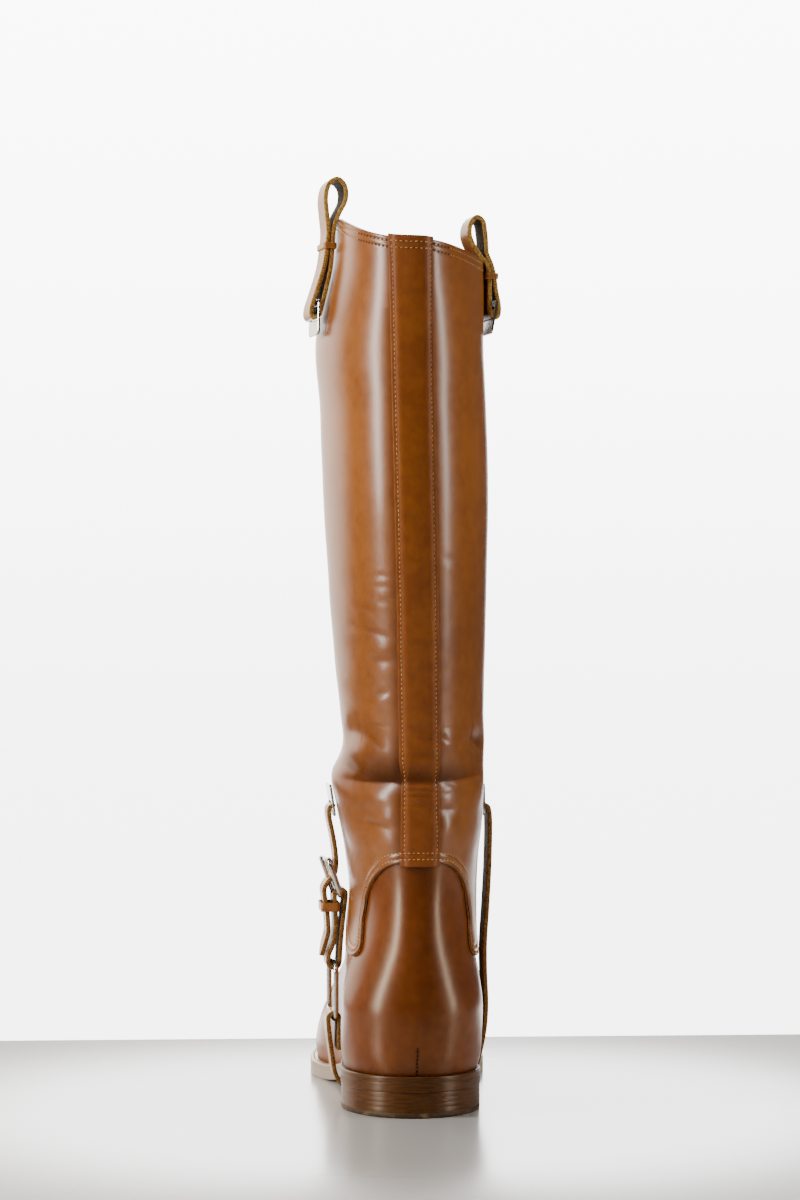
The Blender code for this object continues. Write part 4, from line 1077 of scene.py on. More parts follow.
def sewShaft():
    runs, bare = [], []
    edgeAngle, edgeRow, turn, climb = seamEdge(stitchRows["seamPoints"])
    for distance in seamStitches["rows"]:
        runs.append(sewnRow(edgeAngle + distance * turn, edgeRow + distance * climb, distance, seamStitches,
                            distance + backStrap["drop"], True))
    half = float(strapHalf(np.array([float(topRow)]))[0])
    medial, lateral = collarHoles["medial"], collarHoles["lateral"]
    spans = [(-half, half, runs), (lateral, fullTurn - medial, runs),
             (half, lateral, bare), (-medial, -half, bare)]
    for distance in collarStitches["rows"]:
        for start, end, kept in spans:
            angle = np.linspace(start, end, stitchRows["collarPoints"])
            row = rowsBelowCollar(angle, [distance])[0]
            kept.append(sewnRow(angle, row, distance, collarStitches, far))
    pierce("collar_needle_holes", bare, collarHoles["wide"], collarHoles["lift"])
    sewRuns("shaft_stitches", runs, 0.12, 11)


def sewBackStrap():
    runs = []
    low, high = stitchRows["strapGaps"]
    row = np.linspace(shaftCut["backArchRow"] + low, topRow - high, stitchRows["strapPoints"])
    inset = np.full(len(row), backStrap["stitchIn"])
    half = strapHalf(row)
    for side in (-1, 1):
        angle = side * half * (1 - inset / (np.sin(half) * heelHalf(row)))
        height = strapFace(lastPoints(angle, row), inset, np.full(len(row), far))[0]
        runs.append(runOnLast(angle, row, height))
    sewRuns("back_strap_stitches", runs, -0.12, 12)


def sewCounter():
    runs = []
    top = shaftCut["tabRow"] - counterStitches["topGap"]
    row = np.linspace(counterStitches["lowRow"], top, stitchRows["counterPoints"])
    half = np.full(row.shape, footCut["seamAngle"])
    for side in (-1, 1):
        for inset in counterStitches["rows"]:
            around = np.linalg.norm(lastSlopes(side * half, row)[0], axis=-1)
            angle = side * (half - inset / around)
            relief = footRelief(lastPoints(angle, row))[0] * ease(inset, 0.0, footCut["calmReach"])
            runs.append(runOnLast(angle, row, relief - counterStitches["sunk"]))
    sewRuns("counter_stitches", runs, 0.12, 13)


def sewSlit():
    rows = heelSlit["rows"]
    top = heelSlit["top"] - heelSlit["stitchTop"]
    heights = np.linspace(heelSlit["stitchLow"], top, heelSlit["stitches"])
    row = np.interp(heights, lastPoints(np.zeros(len(rows)), rows)[:, 2], rows)
    angle = np.zeros(row.shape)
    spots = onLast(angle, row, stitchShape["holeLift"])
    out = lastNormals(angle, row)
    along = np.broadcast_to(heelSlit["stitchWay"], spots.shape)
    run = spots, unit(along), unit(np.cross(out, along)), out
    sewRuns("slit_stitches", [run], 0.0, 15, 0.8, 0.3, "dimThread")


sewShaft()
sewBackStrap()
sewCounter()
sewSlit()
print("stitches made")


# Bottom: welt, outsole, heel lifts and top piece, each with its edge rounded or wheeled

bottom = dict(
    weltHeel=1.7, weltFore=3.6, growStartT=0.3, growEndT=0.62, weltInside=9.0, weltInset=0.06,
    weltThick=3.2, seatGap=0.3, outsoleTop=3.5, points=1200, heelBreastY=30.0, breastHollow=3.0,
    heelPoints=300, breastPoints=61, topPiece=2.6, stackInset=0.3, tickPitch=1.05, tickDepth=0.10,
    tickFade=(58.0, 72.0), lifts=4, outlineSteps=4001, heelSteps=1500, stitchPoints=900, stitchStart=1.35,
    stitchIn=1.7, stitchPitch=2.9,
)


def weltReach(angle):
    t = (1 - np.cos(angle)) / 2
    return toward(bottom["weltHeel"], bottom["weltFore"], ease(t, bottom["growStartT"], bottom["growEndT"]))


def footprint(angle, grow):
    step = last["turnStep"]
    zero = np.zeros(angle.shape)
    slope = (lastPoints(angle + step, zero) - lastPoints(angle - step, zero))[:, :2]
    outward = unit(np.column_stack([-slope[:, 1], slope[:, 0]]))
    return lastPoints(angle, zero)[:, :2] + outward * np.reshape(grow, (-1, 1))


def evenSoleAngles(count):
    fine = np.linspace(0, fullTurn, bottom["outlineSteps"])
    length = runLength(footprint(fine, weltReach(fine)))
    return np.interp(np.arange(count) * length[-1] / count, length, fine), length[-1]


def soleRing(angle, grow, lift):
    plan = footprint(angle, np.broadcast_to(grow, angle.shape))
    return np.column_stack([plan, featherHeight(plan[:, 1]) + lift])


def rungFaces(start, count, flip):
    # level rungs across a ring that pairs up left and right from the back
    faces = [[start, start + 1, start + count - 1]]
    for place in range(1, count // 2 - 1):
        faces.append([start + place, start + place + 1, start + count - place - 1, start + count - place])
    faces.append([start + count // 2 - 1, start + count // 2, start + count // 2 + 1])
    return [f[::-1] for f in faces] if flip else faces


def heelTicks(angle, length):
    # wheel marks pressed into the edge round the heel
    along = runLength(footprint(angle, weltReach(angle)))
    along = np.minimum(along, length - along)
    here = 1 - ease(along, *bottom["tickFade"])
    return here * bottom["tickDepth"] * np.clip(np.cos(along * fullTurn / bottom["tickPitch"]), -0.2, 1)


def buildWelt():
    angle = evenSoleAngles(bottom["points"])[0]
    reach = weltReach(angle) - bottom["weltInset"]
    low = -bottom["seatGap"] - bottom["weltThick"]
    high = -bottom["seatGap"]
    inside = -bottom["weltInside"]
    profile = [
        (inside, low), (reach - 0.15, low), (reach - 0.03, low + 0.08), (reach, low + 0.25),
        (reach + 0.1, low + 1.3), (reach + 0.16, high - 1.0), (reach + 0.08, high - 0.45),
        (reach - 0.2, high - 0.1), (reach - 0.6, high), (inside, high),
    ]
    rings = np.vstack([soleRing(angle, grow, lift) for grow, lift in profile])
    faces = tubeFaces(len(profile), len(angle))
    addPiece("welt_strip", rings, faces, [finishes["soleEdge"]], ["welt"])


def buildOutsole():
    angle, length = evenSoleAngles(bottom["points"])
    reach = weltReach(angle)
    tick = heelTicks(angle, length)
    tread = -last["treadZ"]
    top = -bottom["outsoleTop"]
    profile = [
        (reach - 0.6, tread), (reach - 0.2, tread + 0.1), (reach - 0.05, tread + 0.3),
        (reach, tread + 0.7), (reach, tread + 1.5), (reach - tick, tread + 1.7), (reach - tick, top - 0.4),
        (reach - 0.02, top - 0.2), (reach - 0.12, top),
    ]
    rings = np.vstack([soleRing(angle, grow, lift) for grow, lift in profile])
    count = len(angle)
    sides = [f[::-1] for f in gridFaces(len(profile), count, True)]
    low = rungFaces(0, count, False)
    high = rungFaces((len(profile) - 1) * count, count, True)
    faceFinish = [0] * len(sides) + [1] * (len(low) + len(high))
    addPiece("outsole_leather", rings, sides + low + high, [finishes["soleEdge"], finishes["soleLeather"]],
             ["outsole"], faceFinish)


def heelOutline(inset):
    fine = np.linspace(0, math.pi, bottom["heelSteps"])
    plan = footprint(fine, weltReach(fine) - inset)
    corner = float(np.interp(bottom["heelBreastY"], plan[:, 1], fine))
    angle = np.linspace(-corner, corner, bottom["heelPoints"])
    points = footprint(angle, weltReach(angle) - inset)
    share = np.arange(1, bottom["breastPoints"] + 1) / (bottom["breastPoints"] + 1)
    across = toward(points[-1, 0], points[0, 0], share)
    hollow = bottom["heelBreastY"] - 4 * bottom["breastHollow"] * share * (1 - share)
    return np.vstack([points, np.column_stack([across, hollow])])


def heelBlock(name, profile, look, stands):
    outline = heelOutline(bottom["stackInset"])
    slope = np.roll(outline, -1, axis=0) - np.roll(outline, 1, axis=0)
    outward = unit(np.column_stack([-slope[:, 1], slope[:, 0]]))
    count = len(outline)
    rings = [np.column_stack([outline - outward * inset, np.full(count, z)]) for inset, z in profile]
    sides = [f[::-1] for f in gridFaces(len(profile), count, True)]
    faces = sides + capFaces(len(profile), count)
    return addPiece(name, np.vstack(rings), faces, [finishes[look]], stands)


def buildHeel():
    low = bottom["topPiece"]
    high = last["seatZ"] - last["treadZ"]
    profile = [(0.12, low), (0.02, low + 0.1), (0.0, low + 0.3)]
    for lift in range(1, bottom["lifts"]):
        z = low + (high - low) * lift / bottom["lifts"]
        profile += [(0.0, z - 0.2), (0.06, z), (0.0, z + 0.2)]
    profile += [(0.0, high - 0.2), (0.06, high)]
    heelBlock("heel_lifts", profile, "heelEdge", ["heel_stack"])
    profile = [(0.9, 0.0), (0.35, 0.12), (0.08, 0.5), (0.0, 1.0), (0.0, low - 0.2), (0.1, low)]
    heelBlock("heel_rubber_piece", profile, "heelRubber", ["heel_top_piece"])


def sewWelt():
    angle = evenSoleAngles(bottom["stitchPoints"])[0]
    angle = angle[(angle > bottom["stitchStart"]) & (angle < fullTurn - bottom["stitchStart"])]
    ring = soleRing(angle, weltReach(angle) - bottom["stitchIn"], -bottom["seatGap"] + 0.02)
    out = np.broadcast_to([0.0, 0.0, 1.0], ring.shape)
    sewRuns("welt_stitches", [evenRun(ring, out, bottom["stitchPitch"])], 0.2, 14, 2.1, 0.62)


buildWelt()
buildOutsole()
buildHeel()
sewWelt()
print("bottom made")


# Straps, seen edge on from behind: each is a band swept in an upright plane across the boot

strap = dict(
    thick=2.2, wide=18.0, soft=0.5, flats=8, steps=9, loopTurn=7.5, loopOut=0.5, harnessY=52.0, fuzz=0.1,
    fuzzSize=1.1, tipWide=0.12, play=0.6, sideAngles=np.linspace(0.5, 2.6, 43), sideRows=181,
)
# The straps lie a little askew on the boot, and the link hangs turned
harnessSpin = dict(x=1.0, y=50.0, turn=1.5)
linkSpin = dict(x=-35.15, y=52.0, turn=5.0)


def shaftReach(side, y, half, z):
    # how far out the shaft's side reaches within a span along the boot, at a height
    rows = np.linspace(0, topRow, strap["sideRows"])
    best = 0.0
    for angle in strap["sideAngles"]:
        points = onLast(np.full(rows.shape, -side * angle), rows, shaftCut["proud"])
        if abs(np.interp(z, points[:, 2], points[:, 1]) - y) <= half:
            best = max(best, side * float(np.interp(z, points[:, 2], points[:, 0])))
    return best


def strapSection(wide, thick, soft, flats):
    # the outline of a strap's cross section from its grain face round, and the finish of each face
    corner = np.linspace(0, math.pi / 2, 4)
    half, deep = wide / 2 - soft, thick / 2 - soft
    flat = np.linspace(-1, 1, flats + 1)[:-1] * half
    quarter = np.column_stack([half + soft * np.sin(corner), deep + soft * np.cos(corner)])
    side = np.vstack([quarter, [[wide / 2, 0.0]], (quarter * [1, -1])[::-1]])
    outline = np.vstack([
        np.column_stack([flat, np.full(flats, thick / 2)]), side,
        np.column_stack([-flat, np.full(flats, -thick / 2)])[1:], -side,
    ])
    edge = [2] * (len(side) - 1)
    looks = [0] * flats + edge + [1] * flats + edge
    return outline, (looks + [2] * len(outline))[:len(outline)]


def strapBand(name, path, closed, y, looks, stands, grain, tip=0.0, spin=None):
    outline, columnLooks = strapSection(strap["wide"], strap["thick"], strap["soft"], strap["flats"])
    slope = np.roll(path, -1, axis=0) - np.roll(path, 1, axis=0) if closed else np.gradient(path, axis=0)
    away = unit(np.column_stack([-slope[:, 1], slope[:, 0]])) * grain
    length = runLength(path)
    narrow = np.ones(len(path))
    if tip:
        near = np.clip((length[-1] - length) / tip, 0, 1)
        narrow = toward(strap["tipWide"], 1.0, np.sqrt(1 - (1 - near) ** 2))
    x = path[:, :1] + away[:, :1] * outline[:, 1]
    z = path[:, 1:] + away[:, 1:] * outline[:, 1]
    points = np.stack([x, y + narrow[:, None] * outline[:, 0], z], -1)
    ragged = roughly(points, strap["fuzzSize"], 4.4) * strap["fuzz"]
    side = outline[:, 0].max()
    atEdge = ease(np.abs(outline[:, 0]), side - 0.6, side - 0.1)
    points[..., 1] += ragged * atEdge
    up, across = points.shape[:2]
    if closed:
        faces = tubeFaces(up, across)
        faceFinish = columnLooks * up
    else:
        faces = gridFaces(up, across, True) + capFaces(up, across)
        faceFinish = columnLooks * (up - 1) + [2, 2]
    return addPiece(name, points, faces, looks, stands, faceFinish, spin=spin)


strapLooks = [finishes["harness"], finishes["fleshSide"], finishes["rawEdge"]]
harnessLooks = [finishes["harness"], finishes["fleshSide"], finishes["darkEdge"]]
# Each loop runs up from its plate, over, and down outside: rise over the collar and reach out from the shaft
loopPaths = {
    "lateral": [
        (-41.0, 1.7), (-30.0, 1.7), (-20.0, 1.9), (-10.0, 2.5), (-1.0, 2.1), (5.0, 0.0), (12.0, -3.4),
        (18.5, -3.2), (22.0, 0.4), (19.5, 4.6), (13.0, 6.2), (5.0, 5.6), (-3.0, 4.8), (-10.0, 5.0),
        (-20.0, 5.1), (-31.0, 5.8), (-39.0, 6.4), (-43.2, 5.8), (-44.6, 4.1), (-43.4, 2.3)],
    "medial": [
        (-23.0, 1.2), (-15.0, 1.0), (-6.5, 1.0), (-1.0, 0.0), (4.0, -3.8), (9.0, -7.0), (14.0, -8.6),
        (19.0, -7.8), (22.0, -5.0), (20.0, -1.9), (15.0, -0.9), (10.0, -0.4), (4.5, 0.0), (-1.0, 2.2),
        (-6.5, 3.4), (-14.0, 4.3), (-20.5, 5.6), (-25.2, 5.5), (-26.6, 3.8), (-25.4, 2.0)],
}
# Where each loop stands: the collar's height there, and the other heights from the collar
pullLoops = dict(
    lateral=dict(side=-1, y=12.0, collar=424.0, keeper=-10.0, plateTop=-36.0, plateLow=-53.0, slot=-42.4),
    medial=dict(side=1, y=26.0, collar=407.6, keeper=-6.5, plateTop=-18.0, plateLow=-35.0, slot=-24.4),
)
loopKeeper = dict(tall=2.8, wall=0.7, spare=1.3)
keeperShape = dict(outerCorner=1.4, innerCorner=0.6, soft=0.35, round=0.4)


def boxOutline(wide, tall, corner, steps=6, runs=6):
    # a rectangle with round corners, from the middle of its right side
    turns = np.linspace(0, math.pi / 2, steps + 1)
    corners = []
    for quarter, sign in enumerate([(1, 1), (-1, 1), (-1, -1), (1, -1)]):
        angle = turns + quarter * math.pi / 2
        centre = np.array(sign) * [wide / 2 - corner, tall / 2 - corner]
        corners.append(centre + corner * np.column_stack([np.cos(angle), np.sin(angle)]))
    share = (np.arange(1, runs) / runs)[:, None]
    full = []
    for place, arc in enumerate(corners):
        beyond = corners[(place + 1) % 4][0]
        full += [arc, toward(arc[-1], beyond, share)]
    return np.vstack(full)


def keeperRing(name, middle, hole, wall, tall, looks, stands, spin):
    # a leather ring round a strap: an outline swept up, with soft rims
    k = keeperShape
    outer = boxOutline(hole[0] + 2 * wall, hole[1] + 2 * wall, k["outerCorner"])
    inner = boxOutline(hole[0], hole[1], k["innerCorner"])
    half, low = tall / 2, tall / 2 - k["soft"]
    mid = (outer + inner) / 2
    outerRim, innerRim = toward(outer, mid, k["round"]), toward(inner, mid, k["round"])
    loops = [(outer, -low), (outer, 0.0), (outer, low), (outerRim, half), (innerRim, half), (inner, low),
             (inner, -low), (innerRim, -half), (outerRim, -half)]
    points = np.array([np.column_stack([ring, np.full(len(ring), up)]) for ring, up in loops]) + middle
    up, across = points.shape[:2]
    # outside, rims and inside, loop by loop
    faceFinish = np.repeat([0, 0, 2, 2, 2, 1, 2, 2, 2], across)
    faces = tubeFaces(up, across)
    return addPiece(name, points, faces, looks, stands, faceFinish, spin=spin)


def loopReach(loop, z, wide):
    # how far out the shaft holds a loop at a height
    return shaftReach(loop["side"], loop["y"], wide / 2, z) + strap["loopOut"]


def loopSpin(loop):
    # each loop turns about the upright line where it meets the shaft
    reach = shaftReach(loop["side"], loop["y"], strap["wide"] / 2, loop["collar"] + loop["keeper"])
    return dict(x=loop["side"] * reach, y=loop["y"], turn=strap["loopTurn"])


def buildPullLoops():
    for name, loop in pullLoops.items():
        side, y, collar = loop["side"], loop["y"], loop["collar"]
        points = [(side * (loopReach(loop, min(collar + rise, collar), strap["wide"]) + out), collar + rise)
                  for rise, out in loopPaths[name]]
        spin = loopSpin(loop)
        strapBand("pull_loop_band_" + name, catmull(points, True, strap["steps"]), True, y, strapLooks,
                  ["pull_loop_" + name], side, spin=spin)
        pinch = [out for rise, out in loopPaths[name] if rise == loop["keeper"]]
        inner, outer = min(pinch) - loopKeeper["spare"], max(pinch) + loopKeeper["spare"]
        z = collar + loop["keeper"]
        middle = side * (loopReach(loop, z, strap["wide"]) + (inner + outer) / 2), y, z
        keeperRing("loop_keeper_ring_" + name, middle, (outer - inner, strap["wide"] + strap["play"]),
                   loopKeeper["wall"], loopKeeper["tall"], strapLooks, ["loop_keeper_" + name], spin)


# The straps of the harness as seen from behind: across and up
billetPath = np.array([
    (-34.6, 142.7), (-35.8, 143.0), (-37.0, 142.3), (-37.5, 140.0), (-37.1, 136.0), (-35.8, 130.0),
    (-34.6, 123.0), (-34.0, 117.0), (-34.2, 112.0), (-35.5, 108.6), (-38.0, 105.8), (-39.8, 102.2),
    (-39.5, 98.0), (-38.7, 94.0), (-38.0, 87.0), (-38.0, 81.0), (-39.6, 74.5), (-40.7, 69.0)])
buckleStrapPath = np.array([
    (-29.3, 99.4), (-30.1, 101.4), (-32.0, 102.15), (-33.9, 101.4), (-34.7, 99.4), (-34.4, 93.0),
    (-34.1, 84.0), (-35.3, 76.0), (-37.5, 70.5), (-37.95, 66.6), (-37.05, 64.6), (-35.15, 63.7),
    (-33.25, 64.6), (-32.35, 66.6), (-32.0, 73.0), (-31.3, 81.0), (-30.2, 91.0)])
soleStrapPath = np.array([
    (-32.6, 23.5), (-32.5, 31.0), (-32.5, 38.4), (-33.3, 40.6), (-35.2, 41.5), (-37.1, 40.6),
    (-37.9, 38.4), (-37.2, 30.0), (-35.8, 20.0), (-34.4, 12.0), (-31.6, 7.2), (-26.5, 5.8), (0.0, 6.2),
    (26.0, 5.8), (31.0, 7.4), (34.2, 12.5), (36.8, 21.0), (39.2, 33.0), (40.0, 46.0), (39.4, 62.0),
    (39.4, 76.0), (40.4, 92.0), (41.4, 110.0), (41.9, 126.0), (41.9, 136.0), (41.5, 140.4), (40.8, 142.4),
    (39.6, 143.0), (38.3, 142.8)])
harnessStraps = {
    "billet_band": dict(path=billetPath, closed=False, tip=11.0, stands=["billet_strap"]),
    "buckle_strap_band": dict(path=buckleStrapPath, closed=True, tip=0.0, stands=["buckle_strap"]),
    "sole_strap_band": dict(path=soleStrapPath, closed=False, tip=0.0, stands=["sole_strap"]),
}
billetHoles = dict(heights=(131.0, 123.0, 115.5, 87.5, 80.5), wide=2.3, lift=0.05)
strapKeeper = dict(inner=32.1, outer=41.5, wall=0.9, low=91.2, tall=4.6)


def punchBillet():
    # the buckle holes that show on the billet's outer face, as dark discs of painted shade
    line = catmull(billetPath, False, strap["steps"])
    way = unit(np.gradient(line, axis=0))
    at = [int(np.abs(line[:, 1] - height).argmin()) for height in billetHoles["heights"]]
    zero = np.zeros(len(at))
    out = np.column_stack([way[at, 1], zero, -way[at, 0]])
    along = np.column_stack([way[at, 0], zero, way[at, 1]])
    across = np.broadcast_to([0.0, 1.0, 0.0], out.shape)
    middle = np.column_stack([line[at, 0], zero + strap["harnessY"], line[at, 1]])
    spots = middle + out * strap["thick"] / 2
    pierce("billet_holes", [(spots, along, across, out)], billetHoles["wide"], billetHoles["lift"],
           harnessSpin)


def buildHarness():
    y = strap["harnessY"]
    for name, band in harnessStraps.items():
        path = catmull(band["path"], band["closed"], strap["steps"])
        strapBand(name, path, band["closed"], y, harnessLooks, band["stands"], -1, band["tip"], harnessSpin)
    k = strapKeeper
    hole = k["outer"] - k["inner"] - 2 * k["wall"], strap["wide"] + strap["play"]
    middle = -(k["inner"] + k["outer"]) / 2, y, k["low"] + k["tall"] / 2
    keeperRing("strap_keeper_ring", middle, hole, k["wall"], k["tall"], harnessLooks, ["strap_keeper"],
               harnessSpin)


buildPullLoops()
buildHarness()
punchBillet()
print("straps made")


# Metal: slotted plates, the buckle with its prong, and the plain link

plate = dict(
    wide=25.0, thick=1.2, corner=2.5, slotWide=19.4, slotTall=6.4, ankleSlotTall=4.6, slotCorner=1.0,
    bevel=0.28, topOut=4.15, lowOut=1.3, sharp=30,
)
anklePlates = dict(
    slotZ=142.9, lateral=((-34.8, 138.0), (-37.2, 154.0)), medial=((38.6, 138.0), (38.4, 154.0)),
)
buckle = dict(
    hinge=(-32.0, 99.4), top=(-37.9, 116.7), wire=1.4, halfWide=12.5, corner=3.0, prong=1.0, past=2.6,
    gap=0.3, prongRings=26, prongSides=16, tipStart=0.94, tipLong=0.062,
)
link = dict(out=35.15, top=66.6, low=38.6, wire=1.3, halfWide=12.5, corner=5.0, cornerSteps=10)
wireSides = 18


def addSteel(name, points, faces, stands, spin, sharp=40):
    return addPiece(name, points, faces, [finishes["steel"]], stands, sharp=sharp, spin=spin)


def slottedPlate(name, low, high, y, slotZ, slotTall, stands, spin):
    # low and high are the ends of the plate's middle line, across and up
    low, high = np.array(low), np.array(high)
    tall = high[1] - low[1]
    up = unit(np.array([high[0] - low[0], 0, tall]))
    along = np.array([0.0, 1.0, 0.0])
    face = np.cross(along, up)
    middle = np.array([(high[0] + low[0]) / 2, y, (high[1] + low[1]) / 2])
    slotAt = slotZ - middle[2]
    b, half = plate["bevel"], plate["thick"] / 2
    outer = boxOutline(plate["wide"], tall, plate["corner"])
    rim = boxOutline(plate["wide"] - 2 * b, tall - 2 * b, plate["corner"] - b)
    slot = boxOutline(plate["slotWide"], slotTall, plate["slotCorner"]) + [0, slotAt]
    lip = boxOutline(plate["slotWide"] + 2 * b, slotTall + 2 * b, plate["slotCorner"] + b) + [0, slotAt]
    loops = [(outer, half - b), (rim, half), (lip, half), (slot, half - b), (slot, b - half), (lip, -half),
             (rim, -half), (outer, b - half)]
    points = np.array([middle + ring[:, :1] * along + ring[:, 1:] * up + depth * face
                       for ring, depth in loops])
    return addSteel(name, points, tubeFaces(*points.shape[:2]), stands, spin, plate["sharp"])


def ringRound(spine, radius, first, second, sides):
    # circles of points round a spine, in the plane of two directions
    turns = (np.arange(sides) * fullTurn / sides)[:, None]
    return spine[:, None] + radius * (np.cos(turns) * first + np.sin(turns) * second)


def wireLoop(name, ring, plane, radius, stands, spin):
    # a round wire bent in one plane and closed
    tangent = unit(np.roll(ring, -1, axis=0) - np.roll(ring, 1, axis=0))
    points = ringRound(ring, radius, np.cross(tangent, plane)[:, None], plane, wireSides)
    return addSteel(name, points, tubeFaces(*points.shape[:2]), stands, spin)


def buildPlates():
    for name, loop in pullLoops.items():
        ends = []
        for rise, out in (loop["plateLow"], plate["lowOut"]), (loop["plateTop"], plate["topOut"]):
            z = loop["collar"] + rise
            ends.append((loop["side"] * (loopReach(loop, z, plate["wide"]) + out), z))
        slotZ = loop["collar"] + loop["slot"]
        slottedPlate("loop_plate_metal_" + name, *ends, loop["y"], slotZ, plate["slotTall"],
                     ["loop_plate_" + name], loopSpin(loop))
    for name in ("lateral", "medial"):
        slottedPlate("ankle_plate_metal_" + name, *anklePlates[name], strap["harnessY"], anklePlates["slotZ"],
                     plate["ankleSlotTall"], ["ankle_plate_" + name], harnessSpin)


def buildBuckle():
    b = buckle
    hinge = np.array([b["hinge"][0], strap["harnessY"], b["hinge"][1]])
    across = np.array([b["top"][0] - b["hinge"][0], 0, b["top"][1] - b["hinge"][1]])
    tall = np.linalg.norm(across)
    across = across / tall
    along = np.array([0.0, 1.0, 0.0])
    face = np.array([-across[2], 0, across[0]])
    outline = boxOutline(2 * b["halfWide"], tall, b["corner"]) + [0, tall / 2]
    ring = hinge + outline[:, :1] * along + outline[:, 1:] * across
    wireLoop("buckle_frame_wire", ring, face, b["wire"], ["buckle_frame"], harnessSpin)
    # the prong lies over the frame, with a rounded tip
    share = np.linspace(0, 1, b["prongRings"])[:, None]
    spine = hinge + face * (b["wire"] + b["gap"] + b["prong"]) + across * share * (tall + b["past"])
    girth = b["prong"] * np.sqrt(1 - np.clip((share - b["tipStart"]) / b["tipLong"], 0, 1) ** 2)
    points = ringRound(spine, girth[:, None], along, face, b["prongSides"])
    up, sides = points.shape[:2]
    faces = gridFaces(up, sides, True) + capFaces(up, sides)
    addSteel("buckle_prong_wire", points, faces, ["buckle_prong"], harnessSpin)


def buildLink():
    outline = boxOutline(2 * link["halfWide"], link["top"] - link["low"], link["corner"], link["cornerSteps"])
    middle = np.array([-link["out"], strap["harnessY"], (link["top"] + link["low"]) / 2])
    ring = middle + np.column_stack([np.zeros(len(outline)), outline])
    wireLoop("link_wire", ring, np.array([1.0, 0.0, 0.0]), link["wire"], ["link_ring"], linkSpin)


buildPlates()
buildBuckle()
buildLink()
print("metal made")


# The insole keeps its own solid and takes the footbed's finish

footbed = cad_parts["insole"]
footbed.data.materials.clear()
footbed.data.materials.append(finishes["lining"])


# Stage: a pale floor sheet that ends behind the boot and darkens away from it as a painted pool of light, and
# a sweep that curves round beyond it and glows as painted light

stage = dict(
    floorLine=0.29, floorNear=-3.3, floorHalf=3.3, floorColour=(0.51, 0.51, 0.50),
    floorBeyondLightPool=(0.16, 0.16, 0.155), lightPoolReach=(0.4, 1.1), floorRoughness=0.2, floorDull=0.75,
    glossReach=(0.15, 0.4), sweepDrop=0.004, radius=3.3, height=3.6, bend=0.5, bendSteps=12,
    startTurn=-20.0, endTurn=200.0, turnSteps=90, glow=10.0, leftShare=0.42, leftEdge=(1.7, 2.5),
    coveTint=(1.0, 0.87, 0.75), lowShare=0.55, lowReach=(-0.2, 1.2), rightGlow=0.004, rightFade=0.2,
    axisX=-0.005, axisSlope=0.068, narrow=0.22, spread=0.108,
)


def glowingSweepFinish():
    # dark grey paper that glows as painted light: white where the camera looks, a dimmer warm glow beyond
    # that on the left, dark to the right, and dimmer low down
    s = stage
    finish, shader, place = startFinish("painted_glow_paper", {
        "Base Color": (0.06, 0.06, 0.06, 1), "Roughness": 0.95, "Specular IOR Level": 0.0,
        "Emission Strength": s["glow"]})
    x, y = place.part("X"), place.part("Y")
    across = x - (y * s["axisSlope"] + s["axisX"])
    wide = y * s["spread"] + s["narrow"]
    right = 1 - (across - wide).between(0.0, s["rightFade"])
    cove = y.between(*s["leftEdge"]) * s["leftShare"]
    inFrame = (across + wide).between(-0.1, 0.0)
    left = inFrame + (1 - inFrame) * cove
    lit = left * (right * (1 - s["rightGlow"]) + s["rightGlow"])
    lit = lit * (place.part("Z").between(*s["lowReach"]) * (1 - s["lowShare"]) + s["lowShare"])
    tint = inFrame.blend(s["coveTint"], (1.0, 1.0, 1.0))
    lit.blend((0.0, 0.0, 0.0), tint).feeds(shader, "Emission Color")
    return finish


def floorFinish():
    # pale laminate, polished round the boot and dull further out; its colour darkens away from the boot, a
    # painted pool of light
    s = stage
    finish, shader, place = startFinish("floor_pale", {})
    away = place.node("VectorMath", {"operation": "LENGTH"}, {0: place}, out=1)
    away.between(*s["lightPoolReach"]).blend(s["floorColour"], s["floorBeyondLightPool"]).feeds(shader, "Base Color")
    worn = away.between(*s["glossReach"]) * (s["floorDull"] - s["floorRoughness"])
    (worn + s["floorRoughness"]).feeds(shader, "Roughness")
    return finish


def stagePiece(name, points, faces, finish):
    mesh = bpy.data.meshes.new(name)
    mesh.from_pydata(points, [], faces)
    mesh.materials.append(finish)
    mesh.shade_smooth()
    piece = bpy.data.objects.new(name, mesh)
    bpy.context.scene.collection.objects.link(piece)
    return piece


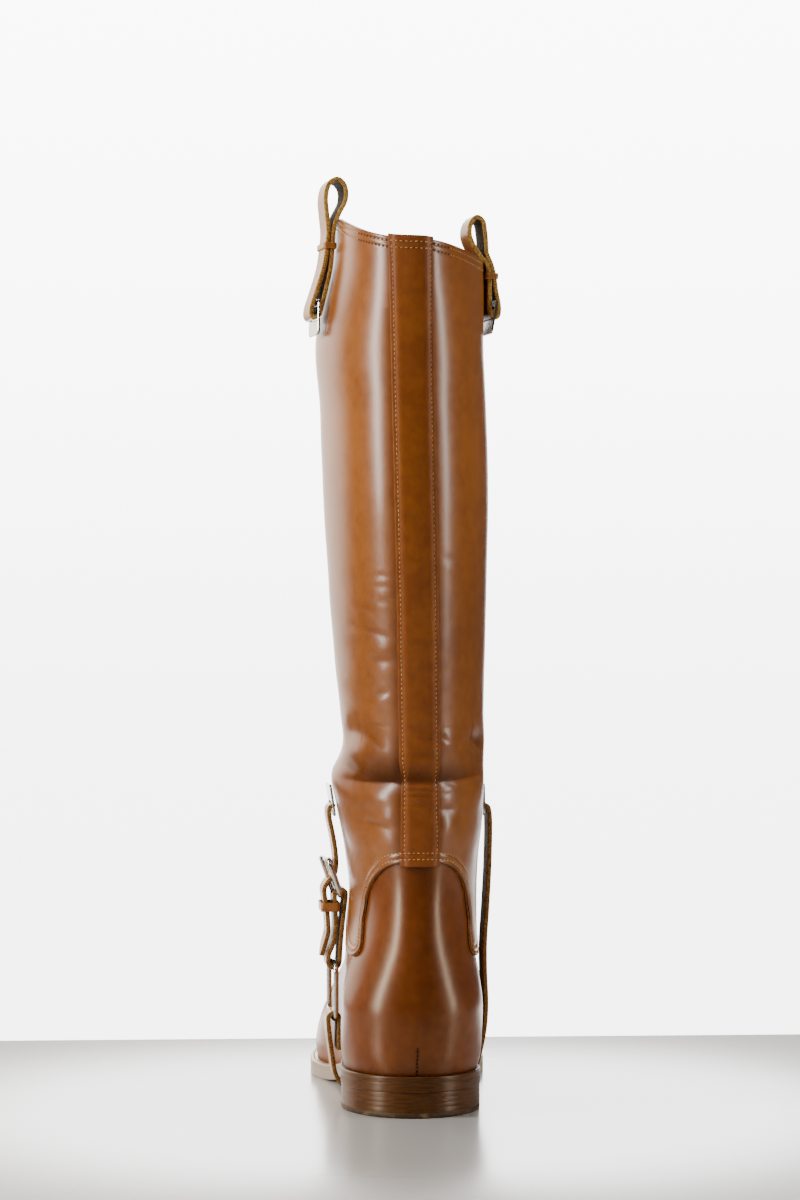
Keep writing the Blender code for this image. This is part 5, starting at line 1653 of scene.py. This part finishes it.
def buildStage():
    s = stage
    half, near, line = s["floorHalf"], s["floorNear"], s["floorLine"]
    corners = [(-half, near, 0), (half, near, 0), (half, line, 0), (-half, line, 0)]
    stagePiece("floor_sheet", corners, [[0, 1, 2, 3]], floorFinish())
    bends = np.linspace(0, math.pi / 2, s["bendSteps"])
    reach = [0.0] + [s["radius"] - s["bend"] + s["bend"] * math.sin(b) for b in bends] + [s["radius"]]
    rise = [0.0] + [s["bend"] * (1 - math.cos(b)) for b in bends] + [s["height"]]
    turns = np.radians(np.linspace(s["startTurn"], s["endTurn"], s["turnSteps"]))
    points = [(r * math.cos(t), r * math.sin(t), z - s["sweepDrop"])
              for r, z in zip(reach, rise) for t in turns]
    faces = gridFaces(len(reach), len(turns), False)
    # the sweep glows with painted light rather than being lit by the lamps
    stagePiece("glowing_sweep", points, faces, glowingSweepFinish())


def softbox(name, place, aim, wide, tall, power, tint):
    light = bpy.data.lights.new(name, "AREA")
    light.shape = "RECTANGLE"
    light.size = wide
    light.size_y = tall
    light.energy = power
    light.color = tint
    piece = bpy.data.objects.new(name, light)
    piece.location = place
    piece.rotation_euler = (Vector(aim) - Vector(place)).to_track_quat("-Z", "Y").to_euler()
    piece.visible_camera = False
    bpy.context.scene.collection.objects.link(piece)


warm, white, bootMiddle = (1.0, 0.95, 0.89), (1.0, 1.0, 1.0), (0, 0, 0.25)
lights = dict(
    left_strip=dict(place=(-1.55, -0.36, 0.82), aim=bootMiddle, wide=0.24, tall=1.58, power=50, tint=warm),
    right_strip=dict(place=(1.55, -0.40, 0.78), aim=bootMiddle, wide=0.18, tall=1.66, power=22, tint=warm),
    top_fill=dict(place=(-0.3, -2.4, 2.2), aim=(0, 0, 0.2), wide=1.4, tall=1.0, power=14, tint=white),
)


def buildLights():
    for name, light in lights.items():
        softbox(name, **light)
    world = bpy.data.worlds.new("dim_room")
    bpy.context.scene.world = world
    world.use_nodes = True
    world.node_tree.nodes["Background"].inputs["Color"].default_value = (0.03, 0.03, 0.03, 1)


view = dict(place=(-0.126, -1.769, 0.244), lens=111.0, sensor=36.0, turn=5.6 - 1.70)


def buildCamera():
    camera = bpy.data.cameras.new("camera")
    camera.lens = view["lens"]
    camera.sensor_width = view["sensor"]
    piece = bpy.data.objects.new("camera", camera)
    piece.location = view["place"]
    piece.rotation_euler = (math.pi / 2, 0, -math.radians(view["turn"]))
    bpy.context.scene.collection.objects.link(piece)
    bpy.context.scene.camera = piece


buildStage()
buildLights()
buildCamera()
bpy.context.view_layer.update()
print("stage, lights and camera made")
